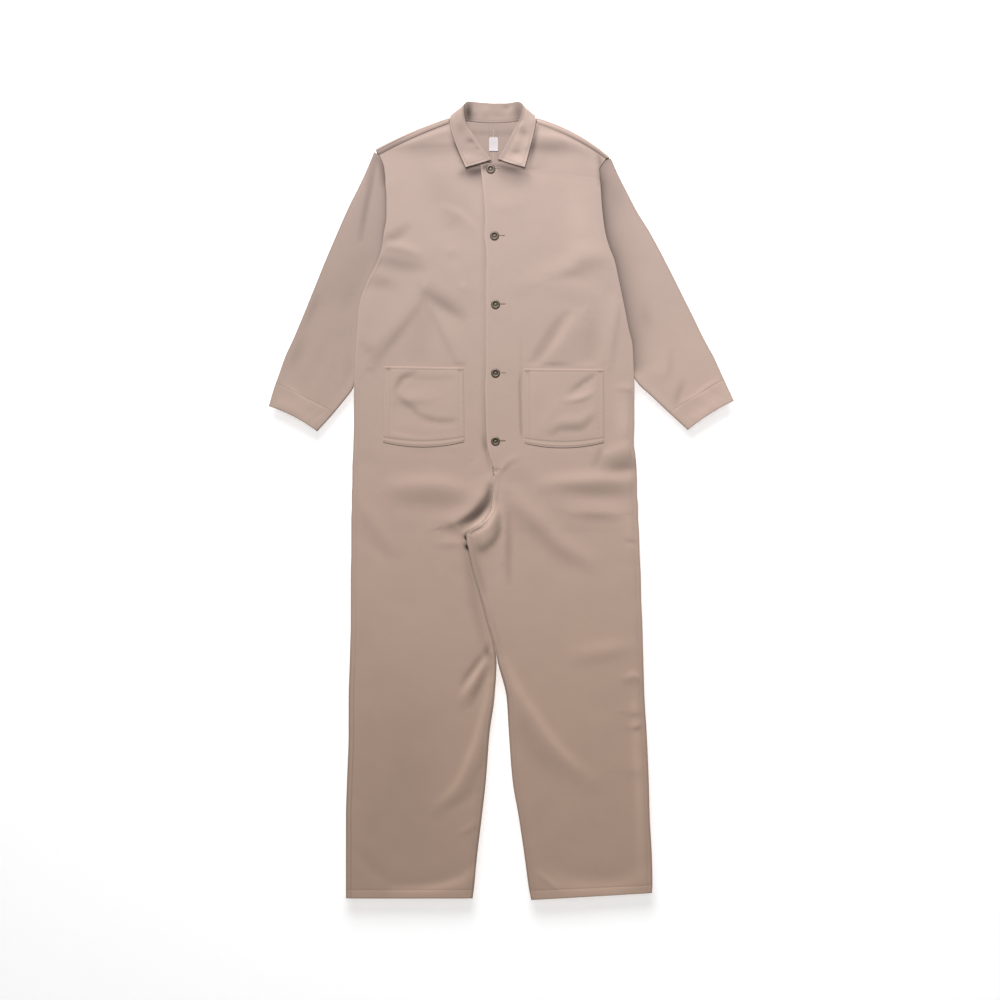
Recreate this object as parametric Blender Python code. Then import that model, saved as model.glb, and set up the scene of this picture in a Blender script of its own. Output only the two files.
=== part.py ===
"""Boiler suit in cotton twill, buttoned up and laid flat on its back.

+X is the wearer's left, +Y runs from the hems to the collar and +Z is up.
The origin is on the surface the suit lies on, under the middle of its outline.
Tables are in millimetres. A rung is one section across a panel, from a point on
its outer edge (side seam or armhole) to a point on its inner edge (neckline,
button edge, rise or inseam).
"""
import math

import bmesh
import bpy
from mathutils import Vector

MM = 0.001

# ---- driving dimensions, mm -------------------------------------------------
CLOTH = 1.2              # wall of the twill panels
COLLAR_WALL = 1.5        # two layers of twill with their interlining
LABEL_WALL = 1.0
GAP = 0.3                # clear space between pieces that touch
SEAM = 0.6               # clear space between the edges of a sewn seam, in plan

BACK_MID = CLOTH / 2                      # the back lies on the floor
EDGE_MID = 1.5 * CLOTH + GAP              # a front's edge rests on the back's edge
FRONT_MID = 4.2                           # middle of a front's wall, away from its edges
LAP = CLOTH + GAP                         # the left front laps over the right one
NECK_LIFT = COLLAR_WALL + GAP             # the back passes over the collar's fall
TUCK = 8.0                                # the sleeve goes this far under the body's edge
SLEEVE_EDGE_MID = 2.6                     # upper layer of a sleeve, at its folded edges
SLEEVE_LOFT = 2.2                         # extra height along the sleeve's middle
CENTRE_BACK = -15.0                       # x of the centre back seam

# columns of a front: distances from the inner edge, then from the outer edge
FROM_INNER = (0, 14, 46, 58, 72)
FROM_OUTER = (57, 24, 8, 0)
MIDDLE_SHARES = (1 / 3, 2 / 3)
POCKET_COLUMNS = (4, 7)                   # the pocket's edges fall on these columns

POCKET_TOP, POCKET_BOTTOM = 249, 108      # heights of the pocket's hem and bottom corners
POCKET_SAG = 9.0                          # how far its bottom curves below the corners

LABEL_SIZE = (17.0, 26.0)
LABEL_CENTRE = (-15.0, 669.5)

BUTTON_R = 8.5
BUTTON_SHANK_R = 2.2
BUTTONHOLE_EYE_R = 3.0
BUTTONHOLE_SLIT = (19.0, 0.8)             # reach from the button's centre, width
BUTTONS = ((-20, 622), (-13, 497), (-11, 368), (-11, 239), (-11, 111))   # x, y

# ---- outlines, mm: outer x, outer y, inner x, inner y ------------------------
FRONT_LEFT = (                            # laps over the right front
    (197, 642, 66, 709),
    (190, 632, 57, 691),
    (184, 621, 42, 668),
    (185, 610, 16, 647),
    (185, 604, -6, 635.5),
    (186, 598, -39, 629),
    (188, 568, -33, 565),
    (191, 534, -31, 531),
    (196, 501, -32, 497),
    (203, 476, -29, 471),
    (213, 450, -28, 446),
    (222, 409, -29, 407),
    (232, 361, -29, 362),
    (239, 325, -29, 324),
    (247, 289, -29, 288),
    (249, POCKET_TOP, -29, POCKET_TOP),
    (250, 213, -31, 213),
    (250, 179, -30, 179),
    (250, 143, -29, 143),
    (249, POCKET_BOTTOM, -27, POCKET_BOTTOM),
    (252, 85, -22, 83),
    (254, 61, -15, 61),
)
FRONT_RIGHT = (                           # runs under the left front's button edge
    (-230, 649, -98, 709),
    (-226, 641, -90, 691),
    (-221, 628, -75, 668),
    (-219, 614, -50, 647),
    (-218, 605, -19, 633.5),
    (-218, 597, 4, 630),
    (-216, 568, 4, 566),
    (-216, 534, 4, 533),
    (-221, 501, 4, 499),
    (-226, 469, 4, 469),
    (-236, 442, 4, 444),
    (-254, 405, 4, 405),
    (-268, 362, 4, 362),
    (-271, 324, 4, 324),
    (-274, 288, 4, 288),
    (-276, POCKET_TOP, 4, POCKET_TOP),
    (-277, 213, 4, 213),
    (-277, 179, 4, 179),
    (-277, 143, 4, 143),
    (-278, POCKET_BOTTOM, 4, POCKET_BOTTOM),
    (-279, 83, 0, 83),
    (-280, 61, -16.5, 61),
)
# from the foot of the button edge down the rise to the crotch, and down each leg
RISE = (                                  # left side, right side, seam x, seam y
    (255, -280, -13, 34),
    (255, -281, -15, 12),
    (257, -281, -18, -14),
    (257, -282, -27, -31),
    (258, -282, -44, -48),
    (259, -282, -66, -64),
    (260, -282, -60, -99),
    (262, -283, -50, -140),
    (263, -283, -36, -187),
    (265, -283, -24, -231),
    (266, -284, -13, -272),
)
LEG_LEFT = (
    (267, -308, -7, -303),
    (269, -372, 10, -372),
    (273, -436, 14, -436),
    (277, -526, 21, -526),
    (279, -597, 33, -597),
    (283, -672, 44, -672),
    (284, -721, 52, -731),
    (283, -738, 56, -751),
)
LEG_RIGHT = (
    (-285, -308, -9, -303),
    (-287, -372, -13, -372),
    (-287, -436, -22, -436),
    (-290, -526, -29, -526),
    (-292, -597, -37, -597),
    (-292, -672, -46, -672),
    (-292, -725, -51, -725),
    (-292, -748, -54, -748),
)
SLEEVE_ROWS = 16          # the first rungs, which have the sleeve under their outer edge

# shoulder fold and forward seam: from the neck to the arm, with the bow of each
SHOULDER_LEFT = {"fold": ((65, 719), (203, 645), 9.0), "seam": ((66, 709), (197, 642), 6.0)}
SHOULDER_RIGHT = {"fold": ((-97, 719), (-236, 660), 3.5), "seam": ((-98, 709), (-230, 649), 3.0)}
BACK_NECK_LEFT = ((CENTRE_BACK, 709.0), (9, 710), (28, 712), (48, 714.5))
BACK_NECK_RIGHT = ((CENTRE_BACK, 709.0), (-40, 710), (-62, 712), (-80, 714.5))
SHOULDER_SHARES = (0.01, 0.3, 0.65, 1.0)   # the back's columns at the shoulder

# sleeves: the outer edge from the shoulder to the cuff, and the under edge from where
# the sleeve parts from the body to the cuff
SLEEVE_LEFT = {
    "outer": ((206, 643), (218, 615), (235, 581), (256, 541), (279, 504), (356, 354),
              (382, 301), (400, 268), (414, 237), (427, 209), (437, 187)),
    "under": ((252, 221), (283, 194), (318, 163), (351, 133)),
}
SLEEVE_RIGHT = {
    "outer": ((-239, 655), (-246, 638), (-258, 610), (-270, 585), (-287, 551), (-322, 471),
              (-392, 301), (-405, 273), (-419, 234), (-428, 209), (-437, 177)),
    "under": ((-279, 215), (-301, 188), (-324, 160), (-347, 130)),
}

# collar sections from the right front end round the back of the neck to the left one:
# neck seam, roll, middle of the fall and free edge, each x, y and height
COLLAR = (
    ((-19, 634, 4.2), (-19, 639, 8.6), (-42, 632, 9.4), (-67, 625, 10.4)),
    ((-50, 647, 4.2), (-41, 667, 11.5), (-61, 658, 11.0), (-79, 652, 10.0)),
    ((-75, 668, 4.2), (-55, 688, 13.5), (-73, 683, 12.0), (-89, 678, 9.2)),
    ((-90, 691, 4.2), (-66, 706, 14.0), (-81, 704, 12.0), (-96, 703, 8.2)),
    ((-98, 709, 4.2), (-70, 722, 14.0), (-85, 719, 10.5), (-97, 715, 7.0)),
    ((-92, 719.5, 3.6), (-71, 735, 12.2), (-83, 731, 7.0), (-94, 723.8, 1.8)),
    ((-80, 715, 2.9), (-68, 745, 8.4), (-77, 736, 1.0), (-87, 718, 0.8)),
    ((-62, 712.2, 2.9), (-60, 748.5, 7.4), (-62, 731, 0.8), (-64, 701, 0.8)),
    ((-40, 710, 2.9), (-39, 746.5, 7.0), (-40, 730, 0.8), (-40, 698, 0.8)),
    ((-15, 709, 2.9), (-14, 745.0, 6.8), (-15, 729, 0.8), (-15, 697, 0.8)),
    ((9, 710, 2.9), (10, 745.5, 7.0), (9, 730, 0.8), (9, 698, 0.8)),
    ((28, 712.2, 2.9), (30, 748, 7.4), (29, 731, 0.8), (31, 701, 0.8)),
    ((48, 715, 2.9), (38, 745, 8.4), (46, 736, 1.0), (56, 718, 0.8)),
    ((60, 719.5, 3.6), (40, 733, 12.2), (52, 729, 7.0), (63, 723.5, 1.8)),
    ((66, 709, 4.2), (36, 718, 14.0), (51, 715, 10.5), (65, 714, 7.0)),
    ((57, 691, 4.2), (29, 704, 14.0), (46, 703, 12.0), (63, 700, 8.2)),
    ((42, 668, 4.2), (20, 686, 13.5), (39, 682, 12.0), (58, 678, 9.2)),
    ((16, 647, 4.2), (9, 665, 11.5), (30, 657, 11.0), (51, 651, 10.0)),
    ((-6, 635.5, 4.2), (-6, 640, 8.6), (18, 632, 9.4), (44, 625, 10.4)),
)
FLAT_COLLAR_SECTIONS = range(6, 13)       # sections whose fall lies behind the stand
ROLL_R = 1.05                             # bend of the collar at its roll

# largest folds of the fronts: from x, from y, to x, to y, half width, height
FOLDS = {
    "chest_v_side_arm": (-149, 395, -230, 270, 34, 3.2),
    "chest_v_centre_arm": (-149, 395, -75, 285, 34, 2.8),
    "chest_ridge": (-160, 430, -81, 352, 30, 1.8),
    "left_chest_shelf": (45, 402, 180, 440, 36, 2.2),
    "left_waist_band": (110, 40, 240, 42, 22, 2.6),
    "right_waist_band": (-178, 36, -70, 36, 22, 2.2),
    "hip_drag": (10, -10, 130, -110, 30, 1.8),
    "right_knee_ridge": (-30, -290, -80, -372, 26, 3.0),
    "right_calf_ridge": (-28, -372, -75, -500, 28, 2.0),
    "left_shin_ridge": (20, -345, 159, -530, 36, 2.4),
    "crotch_hollow": (-34, 14, -80, -34, 20, -1.9),
}
RISE_RIDGE = {3: 0.6, 4: 2.6, 5: 4.0, 6: 4.4, 7: 3.4, 8: 1.6}   # rung of the leg: height


# ---- shared helpers -----------------------------------------------------------
def clear_scene():
    for obj in list(bpy.data.objects):
        bpy.data.objects.remove(obj, do_unlink=True)


def material(name, colour, roughness, metallic=0.0):
    mat = bpy.data.materials.new(name)
    mat.use_nodes = True
    shader = mat.node_tree.nodes["Principled BSDF"]
    shader.inputs["Base Color"].default_value = (*colour, 1.0)
    shader.inputs["Roughness"].default_value = roughness
    shader.inputs["Metallic"].default_value = metallic
    return mat


def link(name, mesh, mat):
    mesh.materials.append(mat)
    obj = bpy.data.objects.new(name, mesh)
    bpy.context.collection.objects.link(obj)
    return obj


def smoothstep(value):
    value = min(max(value, 0.0), 1.0)
    return value * value * (3.0 - 2.0 * value)


def bowed(start, end, bow, share):
    """Point on a shallow arc from start to end, raised by bow at its middle."""
    start, end = Vector(start), Vector(end)
    across = (end - start).normalized()
    normal = Vector((-across.y, across.x))
    if normal.y < 0:
        normal = -normal
    return start.lerp(end, share) + normal * bow * 4.0 * share * (1.0 - share)


def sheet_mesh(name, grids, ring=False):
    """Open sheet from grids of points; a ring joins the last column to the first."""
    mesh = bpy.data.meshes.new(name)
    bm = bmesh.new()
    for grid in grids:
        rows = [[bm.verts.new(Vector(point) * MM) for point in row] for row in grid]
        for lower, upper in zip(rows, rows[1:]):
            count = len(lower)
            for i in range(count if ring else count - 1):
                j = (i + 1) % count
                bm.faces.new((lower[i], lower[j], upper[j], upper[i]))
    bmesh.ops.remove_doubles(bm, verts=bm.verts, dist=0.02 * MM)
    bm.to_mesh(mesh)
    bm.free()
    return mesh


def cloth(name, grids, wall, mat, ring=False):
    """A sewn piece: its sheet, thickened evenly to both sides."""
    obj = link(name, sheet_mesh(name, grids, ring), mat)
    solidify = obj.modifiers.new("wall", "SOLIDIFY")
    solidify.thickness = wall * MM
    solidify.offset = 0.0
    solidify.use_even_offset = True
    solidify.use_quality_normals = True
    return obj


# ---- fronts -------------------------------------------------------------------
def fold_height(x, y):
    total = 0.0
    for x0, y0, x1, y1, half_width, height in FOLDS.values():
        start, run = Vector((x0, y0)), Vector((x1 - x0, y1 - y0))
        share = min(max((Vector((x, y)) - start).dot(run) / run.length_squared, 0.0), 1.0)
        off = (Vector((x, y)) - start - run * share).length
        ends = 0.55 + 0.45 * math.sin(math.pi * share)
        total += height * ends * smoothstep(1.0 - off / half_width)
    return total


def front_rungs(side):
    """Rungs from the shoulder to the hem, with the seam's clear space taken off."""
    upper, leg = (FRONT_LEFT, LEG_LEFT) if side > 0 else (FRONT_RIGHT, LEG_RIGHT)
    shift = SEAM / 2 * side
    neck_end = 5
    rungs = []
    for i, (ox, oy, ix, iy) in enumerate(upper):
        neck_clear = SEAM * side if i < neck_end else 0.0
        rungs.append((ox, oy, ix + neck_clear, iy - (SEAM if i < neck_end else 0.0)))
    for left, right, x, y in RISE:
        outer = left if side > 0 else right
        rungs.append((outer, y, x + shift, y - shift))
    rungs.extend((ox, oy, ix, iy) for ox, oy, ix, iy in leg)
    return rungs


def front_columns(width):
    """Shares across a rung of this width, from the inner edge to the outer one."""
    first, last = FROM_INNER[-1], width - FROM_OUTER[0]
    if last < first + 20:
        first, last = width * 0.52, width * 0.66
        scale = first / FROM_INNER[-1]
    else:
        scale = 1.0
    steps = [step * scale for step in FROM_INNER]
    steps += [first + (last - first) * share for share in MIDDLE_SHARES]
    outer_scale = (width - last) / FROM_OUTER[0]
    steps += [width - step * outer_scale for step in FROM_OUTER]
    return [step / width for step in steps]


def front_height(side, row, rows_above_leg, x, y, from_inner, from_outer):
    """Height of the middle of a front's wall."""
    height = FRONT_MID
    leg_row = row - rows_above_leg
    placket = row < rows_above_leg
    if row > SLEEVE_ROWS:
        height -= (FRONT_MID - EDGE_MID) * (1.0 - smoothstep(from_outer / 22.0))
    if not placket and leg_row > 4:
        height -= (FRONT_MID - EDGE_MID) * (1.0 - smoothstep(from_inner / 22.0))
    in_pocket = POCKET_BOTTOM - 20 < y < POCKET_TOP + 8
    clear_of_lap = smoothstep((from_inner - 46.0) / 20.0) if placket else 1.0
    clear_of_side = smoothstep((from_outer - 4.0) / 24.0)
    if not in_pocket:
        height += fold_height(x, y) * clear_of_lap * clear_of_side
    if not placket:
        ridge = RISE_RIDGE.get(leg_row, 0.0)
        height += ridge * (1.0 - smoothstep(from_inner / 20.0))
    if side > 0 and placket:
        height += LAP * (1.0 - smoothstep((from_inner - 46.5) / 11.0))
    return height


def front_grid(side):
    rungs = front_rungs(side)
    above_leg = len(FRONT_LEFT)
    seam = (SHOULDER_LEFT if side > 0 else SHOULDER_RIGHT)["seam"]
    grid = []
    for row, (ox, oy, ix, iy) in enumerate(rungs):
        outer, inner = Vector((ox, oy)), Vector((ix, iy))
        width = (outer - inner).length
        bow = seam[2] * max(0.0, 1.0 - row / 4.0)
        points = []
        for share in front_columns(width):
            spot = bowed(inner, outer, bow, share)
            height = front_height(side, row, above_leg, spot.x, spot.y,
                                  share * width, (1.0 - share) * width)
            points.append((spot.x, spot.y, height))
        grid.append(points if side > 0 else points[::-1])
    return grid


def pocket_grid(front, side):
    """The front's own points between the pocket's edges, moved out."""
    top = next(i for i, rung in enumerate(FRONT_LEFT) if rung[1] == POCKET_TOP)
    bottom = next(i for i, rung in enumerate(FRONT_LEFT) if rung[1] == POCKET_BOTTOM)
    first, last = POCKET_COLUMNS
    if side < 0:
        columns = len(front[0]) - 1
        first, last = columns - last, columns - first
    block = [row[first:last + 1] for row in front[top:bottom + 1]]
    moved = [[(x, y, z + CLOTH + GAP) for x, y, z in row] for row in block]
    left, right = moved[-1][0][0], moved[-1][-1][0]
    moved[-1] = [
        (x, y - POCKET_SAG * 4 * (x - left) * (right - x) / (right - left) ** 2, z)
        for x, y, z in moved[-1]
    ]
    return moved


def buttonhole_cutter(mat):
    """Keyhole slots: an eye round each shank and a slit towards the wearer's left."""
    mesh = bpy.data.meshes.new("buttonhole_cutter")
    bm = bmesh.new()
    reach, slit = BUTTONHOLE_SLIT
    start = math.asin(slit / 2 / BUTTONHOLE_EYE_R)
    steps = 14
    for x, y in BUTTONS:
        turns = [start + (2 * math.pi - 2 * start) * i / steps for i in range(steps + 1)]
        outline = [(x + BUTTONHOLE_EYE_R * math.cos(a), y + BUTTONHOLE_EYE_R * math.sin(a))
                   for a in turns]
        outline += [(x + reach, y - slit / 2), (x + reach, y + slit / 2)]
        face = bm.faces.new([bm.verts.new((px * MM, py * MM, 3.5 * MM)) for px, py in outline])
        result = bmesh.ops.extrude_face_region(bm, geom=[face])
        top = [item for item in result["geom"] if isinstance(item, bmesh.types.BMVert)]
        bmesh.ops.translate(bm, verts=top, vec=(0, 0, 6 * MM))
    bmesh.ops.recalc_face_normals(bm, faces=bm.faces)
    bm.to_mesh(mesh)
    bm.free()
    cutter = link("buttonhole_cutter", mesh, mat)
    cutter.hide_render = True
    cutter.display_type = "WIRE"
    return cutter


# ---- backs --------------------------------------------------------------------
def back_top(side):
    """Columns of a back along its neckline and shoulder, from the centre outwards."""
    neck = BACK_NECK_LEFT if side > 0 else BACK_NECK_RIGHT
    fold = (SHOULDER_LEFT if side > 0 else SHOULDER_RIGHT)["fold"]
    seam_half = SEAM / 2 * side
    points = [(x + (seam_half if i == 0 else 0.0), y - SEAM, BACK_MID + NECK_LIFT)
              for i, (x, y) in enumerate(neck)]
    lip = []
    for share in SHOULDER_SHARES:
        edge = bowed(*fold, share)
        base = BACK_MID + NECK_LIFT * (1.0 - smoothstep(share / 0.3))
        radius = (FRONT_MID - base) / 2
        inset = CLOTH / 2 + radius
        points.append((edge.x, edge.y - inset, base))
        lip.append((edge, base, radius))
    return points, lip


def lip_grid(side, points, lip):
    """The part of a back that folds over the shoulder to the forward seam."""
    seam = (SHOULDER_LEFT if side > 0 else SHOULDER_RIGHT)["seam"]
    first = len(points) - len(SHOULDER_SHARES)
    rows = [points[first:]]
    for turn in (45, 90, 135, 180):
        angle = math.radians(turn)
        row = []
        for edge, base, radius in lip:
            y = edge.y - CLOTH / 2 - radius + radius * math.sin(angle)
            row.append((edge.x, y, base + radius - radius * math.cos(angle)))
        rows.append(row)
    start, end, bow = seam
    ends = [bowed(start, end, bow, share) for share in SHOULDER_SHARES]
    rows.append([(end.x, end.y + 2 * SEAM, FRONT_MID) for end in ends])
    return rows


def back_grid(side):
    """Main grid of a back: neckline and shoulder, then rungs down to the hem."""
    points, lip = back_top(side)
    rungs = front_rungs(side)
    armhole_row, waist_row = 5, len(FRONT_LEFT)
    centre = CENTRE_BACK + SEAM / 2 * side
    outer_x = points[-1][0]
    shares = [(point[0] - centre) / (outer_x - centre) for point in points]
    rows = [points]

    def outer_edge(row):
        ox, oy = rungs[row][:2]
        inset = TUCK + GAP if row < SLEEVE_ROWS else 0.6
        return Vector((ox - inset * side, oy))

    base_edge = outer_edge(armhole_row)
    for blend, lift in ((0.12, 1.0), (0.23, 0.0), (0.62, 0.0)):
        row = []
        for (px, py, pz), share in zip(points, shares):
            x = centre + (base_edge.x - centre) * share
            height = BACK_MID + (pz - BACK_MID) * lift
            row.append((px + (x - px) * blend, py + (base_edge.y - py) * blend, height))
        rows.append(row)
    for row in range(armhole_row, len(rungs)):
        edge = outer_edge(row)
        inner_x, inner_y = rungs[row][2:]
        if row < waist_row:
            inner_x, inner_y = centre, edge.y
        rows.append([(inner_x + (edge.x - inner_x) * share,
                      inner_y + (edge.y - inner_y) * share, BACK_MID) for share in shares])
    lip_rows = lip_grid(side, points, lip)[::-1]
    if side < 0:
        rows = [row[::-1] for row in rows]
        lip_rows = [row[::-1] for row in lip_rows]
    return rows, lip_rows


# ---- sleeves ------------------------------------------------------------------
def along(path, share):
    """Point at this share of a polyline's length."""
    spots = [Vector(spot) for spot in path]
    lengths = [(b - a).length for a, b in zip(spots, spots[1:])]
    rest = share * sum(lengths)
    for a, b, length in zip(spots, spots[1:], lengths):
        if rest <= length:
            return a.lerp(b, rest / length)
        rest -= length
    return spots[-1]


def sleeve_grid(side, back_edge):
    """Flattened tube: each ring goes out over the top and back along the floor.

    back_edge is the edge of the back that the sleeve meets, from the shoulder down.
    """
    table = SLEEVE_LEFT if side > 0 else SLEEVE_RIGHT
    bend = (SLEEVE_EDGE_MID - BACK_MID) / 2
    lean = bend + CLOTH / 2
    inner_path = [Vector((x + SEAM * side, y - SEAM)) for x, y in back_edge]
    inner_path += [Vector(spot) for spot in table["under"]]
    total = sum((b - a).length for a, b in zip(inner_path, inner_path[1:]))
    walked = 0.0
    rows = []
    for i, inner in enumerate(inner_path):
        if i:
            walked += (inner - inner_path[i - 1]).length
        outer = along(table["outer"], walked / total)
        width = (inner - outer).length
        across = (inner - outer) / width
        loft = SLEEVE_LOFT * smoothstep((width - 30) / 60)
        flat = width - 2 * lean
        tucked = min(16.0, flat * 0.3)
        steps = (0.0, flat * 0.25, flat * 0.5, flat - tucked, flat)
        ring = [(outer + across * CLOTH / 2, BACK_MID + bend)]
        for step in steps:
            puff = math.sin(math.pi * step / (flat - tucked)) if step < flat else 0.0
            ring.append((outer + across * (lean + step), SLEEVE_EDGE_MID + loft * max(puff, 0.0)))
        ring.append((inner - across * CLOTH / 2, BACK_MID + bend))
        for share in (1.0, 0.5, 0.0):
            ring.append((outer + across * (lean + flat * share), BACK_MID))
        points = [(spot.x, spot.y, height) for spot, height in ring]
        rows.append(points[::-1] if side > 0 else points)
    return rows


# ---- collar, label and buttons ----------------------------------------------
def collar_grid():
    """Sections from the neck seam up the stand, over the roll and down the fall."""
    rows = []
    for i, (neck, roll, middle, free) in enumerate(COLLAR):
        neck, roll, middle, free = (Vector(p) for p in (neck, roll, middle, free))
        if i in FLAT_COLLAR_SECTIONS:
            outward = -1.5 if roll.x < CENTRE_BACK else 1.5
            stand_side = Vector((neck.x * 0.1 + roll.x * 0.9, roll.y - 3.0, roll.z - 0.4))
            fall_side = Vector((middle.x * 0.2 + roll.x * 0.8 + outward, roll.y - 3.0, roll.z - 2.6))
        else:
            stand_side = roll.lerp(neck, 0.22) - Vector((0, 0, ROLL_R))
            fall_side = roll.lerp(middle, 0.2) + Vector((0, 0, ROLL_R * 0.4))
        rows.append([neck, stand_side, roll, fall_side, middle, free])
    return rows


def label_grid():
    width, height = LABEL_SIZE
    x, y = LABEL_CENTRE
    level = CLOTH + GAP + LABEL_WALL / 2
    return [[(x - width / 2, y - height / 2, level), (x + width / 2, y - height / 2, level)],
            [(x - width / 2, y + height / 2, level), (x + width / 2, y + height / 2, level)]]


def button(name, x, y, mat):
    """Metal tack button: a rounded ring with a sunk eye, on a shank."""
    foot = FRONT_MID + CLOTH / 2 + GAP
    seat = foot + CLOTH + GAP
    profile = (
        (BUTTON_SHANK_R, foot),
        (BUTTON_SHANK_R, seat),
        (BUTTON_R - 0.7, seat),
        (BUTTON_R, seat + 1.0),
        (BUTTON_R - 1.8, seat + 2.6),
        (3.6, seat + 2.3),
        (2.6, seat + 1.3),
    )
    mesh = bpy.data.meshes.new(name)
    bm = bmesh.new()
    sides = 16
    rings = []
    for radius, height in profile:
        ring = []
        for i in range(sides):
            angle = 2 * math.pi * i / sides
            spot = Vector((x + radius * math.cos(angle), y + radius * math.sin(angle), height))
            ring.append(bm.verts.new(spot * MM))
        rings.append(ring)
    for lower, upper in zip(rings, rings[1:]):
        for i in range(sides):
            j = (i + 1) % sides
            bm.faces.new((lower[i], lower[j], upper[j], upper[i]))
    bm.faces.new(rings[0][::-1])
    bm.faces.new(rings[-1])
    bm.to_mesh(mesh)
    bm.free()
    mesh.shade_smooth()
    mesh.set_sharp_from_angle(angle=math.radians(40))
    return link(name, mesh, mat)


def main():
    clear_scene()
    twill = material("beige_cotton_twill", (0.515, 0.392, 0.305), 0.9)
    tape = material("white_woven_label", (0.86, 0.86, 0.84), 0.8)
    metal = material("antiqued_brass", (0.20, 0.17, 0.14), 0.45, 1.0)

    for word, side in (("left", 1), ("right", -1)):
        main_rows, lip_rows = back_grid(side)
        cloth(f"back_{word}", [main_rows, lip_rows], CLOTH, twill)
        edge = [row[-1 if side > 0 else 0][:2] for row in main_rows[1:SLEEVE_ROWS - 1]]
        cloth(f"sleeve_{word}", [sleeve_grid(side, edge)], CLOTH, twill, ring=True)
        front = front_grid(side)
        panel = cloth(f"front_{word}", [front], CLOTH, twill)
        if side > 0:
            cut = panel.modifiers.new("buttonholes", "BOOLEAN")
            cut.operation = "DIFFERENCE"
            cut.solver = "EXACT"
            cut.object = buttonhole_cutter(twill)
        cloth(f"pocket_{word}", [pocket_grid(front, side)], CLOTH, twill)

    cloth("collar", [collar_grid()], COLLAR_WALL, twill)
    cloth("label", [label_grid()], LABEL_WALL, tape)
    for number, (x, y) in enumerate(BUTTONS, start=1):
        button(f"button_{number}", x, y, metal)


main()
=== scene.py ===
"""Boiler suit in beige cotton twill, buttoned up and laid flat on its back.

Builds the cloth, its seams, hems and stitching, the metal buttons and the bare neck
label round the fixed model, and a pale floor with soft light. Tables are in
millimetres: +X is the wearer's left, +Y runs from the hems to the collar, +Z is up.
"""

import math

import bmesh
import bpy
import numpy as np
from mathutils import Matrix, Vector
from mathutils.bvhtree import BVHTree


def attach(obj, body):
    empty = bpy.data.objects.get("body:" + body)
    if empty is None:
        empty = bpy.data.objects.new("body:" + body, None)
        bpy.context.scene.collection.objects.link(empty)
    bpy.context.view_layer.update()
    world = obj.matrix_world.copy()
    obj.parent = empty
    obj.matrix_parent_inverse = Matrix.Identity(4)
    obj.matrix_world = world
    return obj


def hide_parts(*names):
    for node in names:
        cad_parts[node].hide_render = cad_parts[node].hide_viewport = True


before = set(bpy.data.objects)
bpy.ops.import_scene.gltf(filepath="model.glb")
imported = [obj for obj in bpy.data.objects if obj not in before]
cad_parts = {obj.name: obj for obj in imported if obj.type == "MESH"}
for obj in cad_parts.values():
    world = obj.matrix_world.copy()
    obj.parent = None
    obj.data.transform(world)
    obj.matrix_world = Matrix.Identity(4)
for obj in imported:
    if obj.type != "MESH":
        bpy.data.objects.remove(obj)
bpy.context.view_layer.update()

bl_info = {
    "name": "Boiler suit",
    "version": (1, 0, 0),
    "blender": (4, 5, 0),
    "location": "3D View > Sidebar > Boiler suit",
    "description": "Builds a cotton twill boiler suit laid out flat",
    "category": "Add Mesh",
}

MM = 0.001
LEFT, RIGHT = 1, -1       # the wearer's sides, as the signs of x
BACK_MID = 0.6            # middle of the back's wall, which lies on the floor
EDGE_MID = 2.05           # middle of a front's wall at its free edges
FRONT_MID = 4.2           # middle of a front's wall elsewhere
LAP = 1.5                 # the left front lies this much higher over the right one
NECK_LIFT = 1.8           # the back passes over the collar's fall
TUCK = 8.0                # the sleeve goes this far under the body's edge
SEAM = 0.2                # clear space between sewn edges
SLEEVE_EDGE_MID = 2.6     # middle of a sleeve's upper wall at its long edges
SLEEVE_LOFT = 2.4         # how much higher it lies along the sleeve's middle
CENTRE_BACK = -15.0       # x of the seam between the two backs
STITCHED_BAND = 9.4       # width of a felled seam, from its edge to its inner stitching
HEM = 16.0                # depth of a leg's turned hem
CUFF_HEM = 48.0           # depth of a sleeve's turned hem
RISE_STITCHES = (1.8, 7.6)   # rows along the rise, from the seam
SHOULDER_STITCHES = (2.0, 7.2)   # rows along the shoulder, from the seam
FACING = 65.0             # row of stitching that holds the left front's facing
BOARD_DEPTH = 27.0        # of the white board under the frosted sheet
FROSTING = 0.15           # share of light that the frosted sheet stops
GLOW = 0.42               # strength of the white board's own light
# the key light and the camera, in metres
KEY_PLACE = (-0.1, 2.0, 1.9)
KEY_SIZE = 2.0
KEY_AIM = (1.7, 0.1, 0.0)
CAMERA_PLACE = (-0.00254, 0.00056, 5.2222)

# places of the rows and columns of points near an edge, in from it
EDGE_STEPS = (0.0, 0.35, 0.9, 1.8, 3.0, 4.4, 6.0)
BAND_STEPS = (7.6, 8.6, 9.4, 10.2, 11.4, 13.4, 16.0)
COLLAR_STEPS = EDGE_STEPS[:4] + (3.0, 4.1, 5.0, 5.9, 7.2)
# the left front's columns between its button edge and the facing's stitching
FACING_STEPS = (19.2, 22.5, 26, 29.5, 33, 36.5, 40, 43.5, 46.5, 49.5, 52.5, 55.5, 58.5, 60.6,
                61.4, 62.0, 62.6, 63.4, 66.0)
FRONT_WIDTH = 262.0       # usual width of a front, from which its columns are counted
NECK_RUNGS = 5            # rungs of a front that end on the neckline
PLACKET_COVER = 33.0      # the left front covers this much of the right one
SLEEVE_RUNGS = 16         # rungs of a front with the sleeve under their outer edge

# painted light on the rolled shoulder: distance from the middle of the neck, then how much lighter
# it is painted
LIP_TONE = {
    LEFT: ((60, 85, 140, 185), (1.9, 1.2, 0.5, -0.4)),
    RIGHT: ((90, 150, 175, 200), (0.5, 0.3, -0.1, -1.0)),
}
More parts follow.
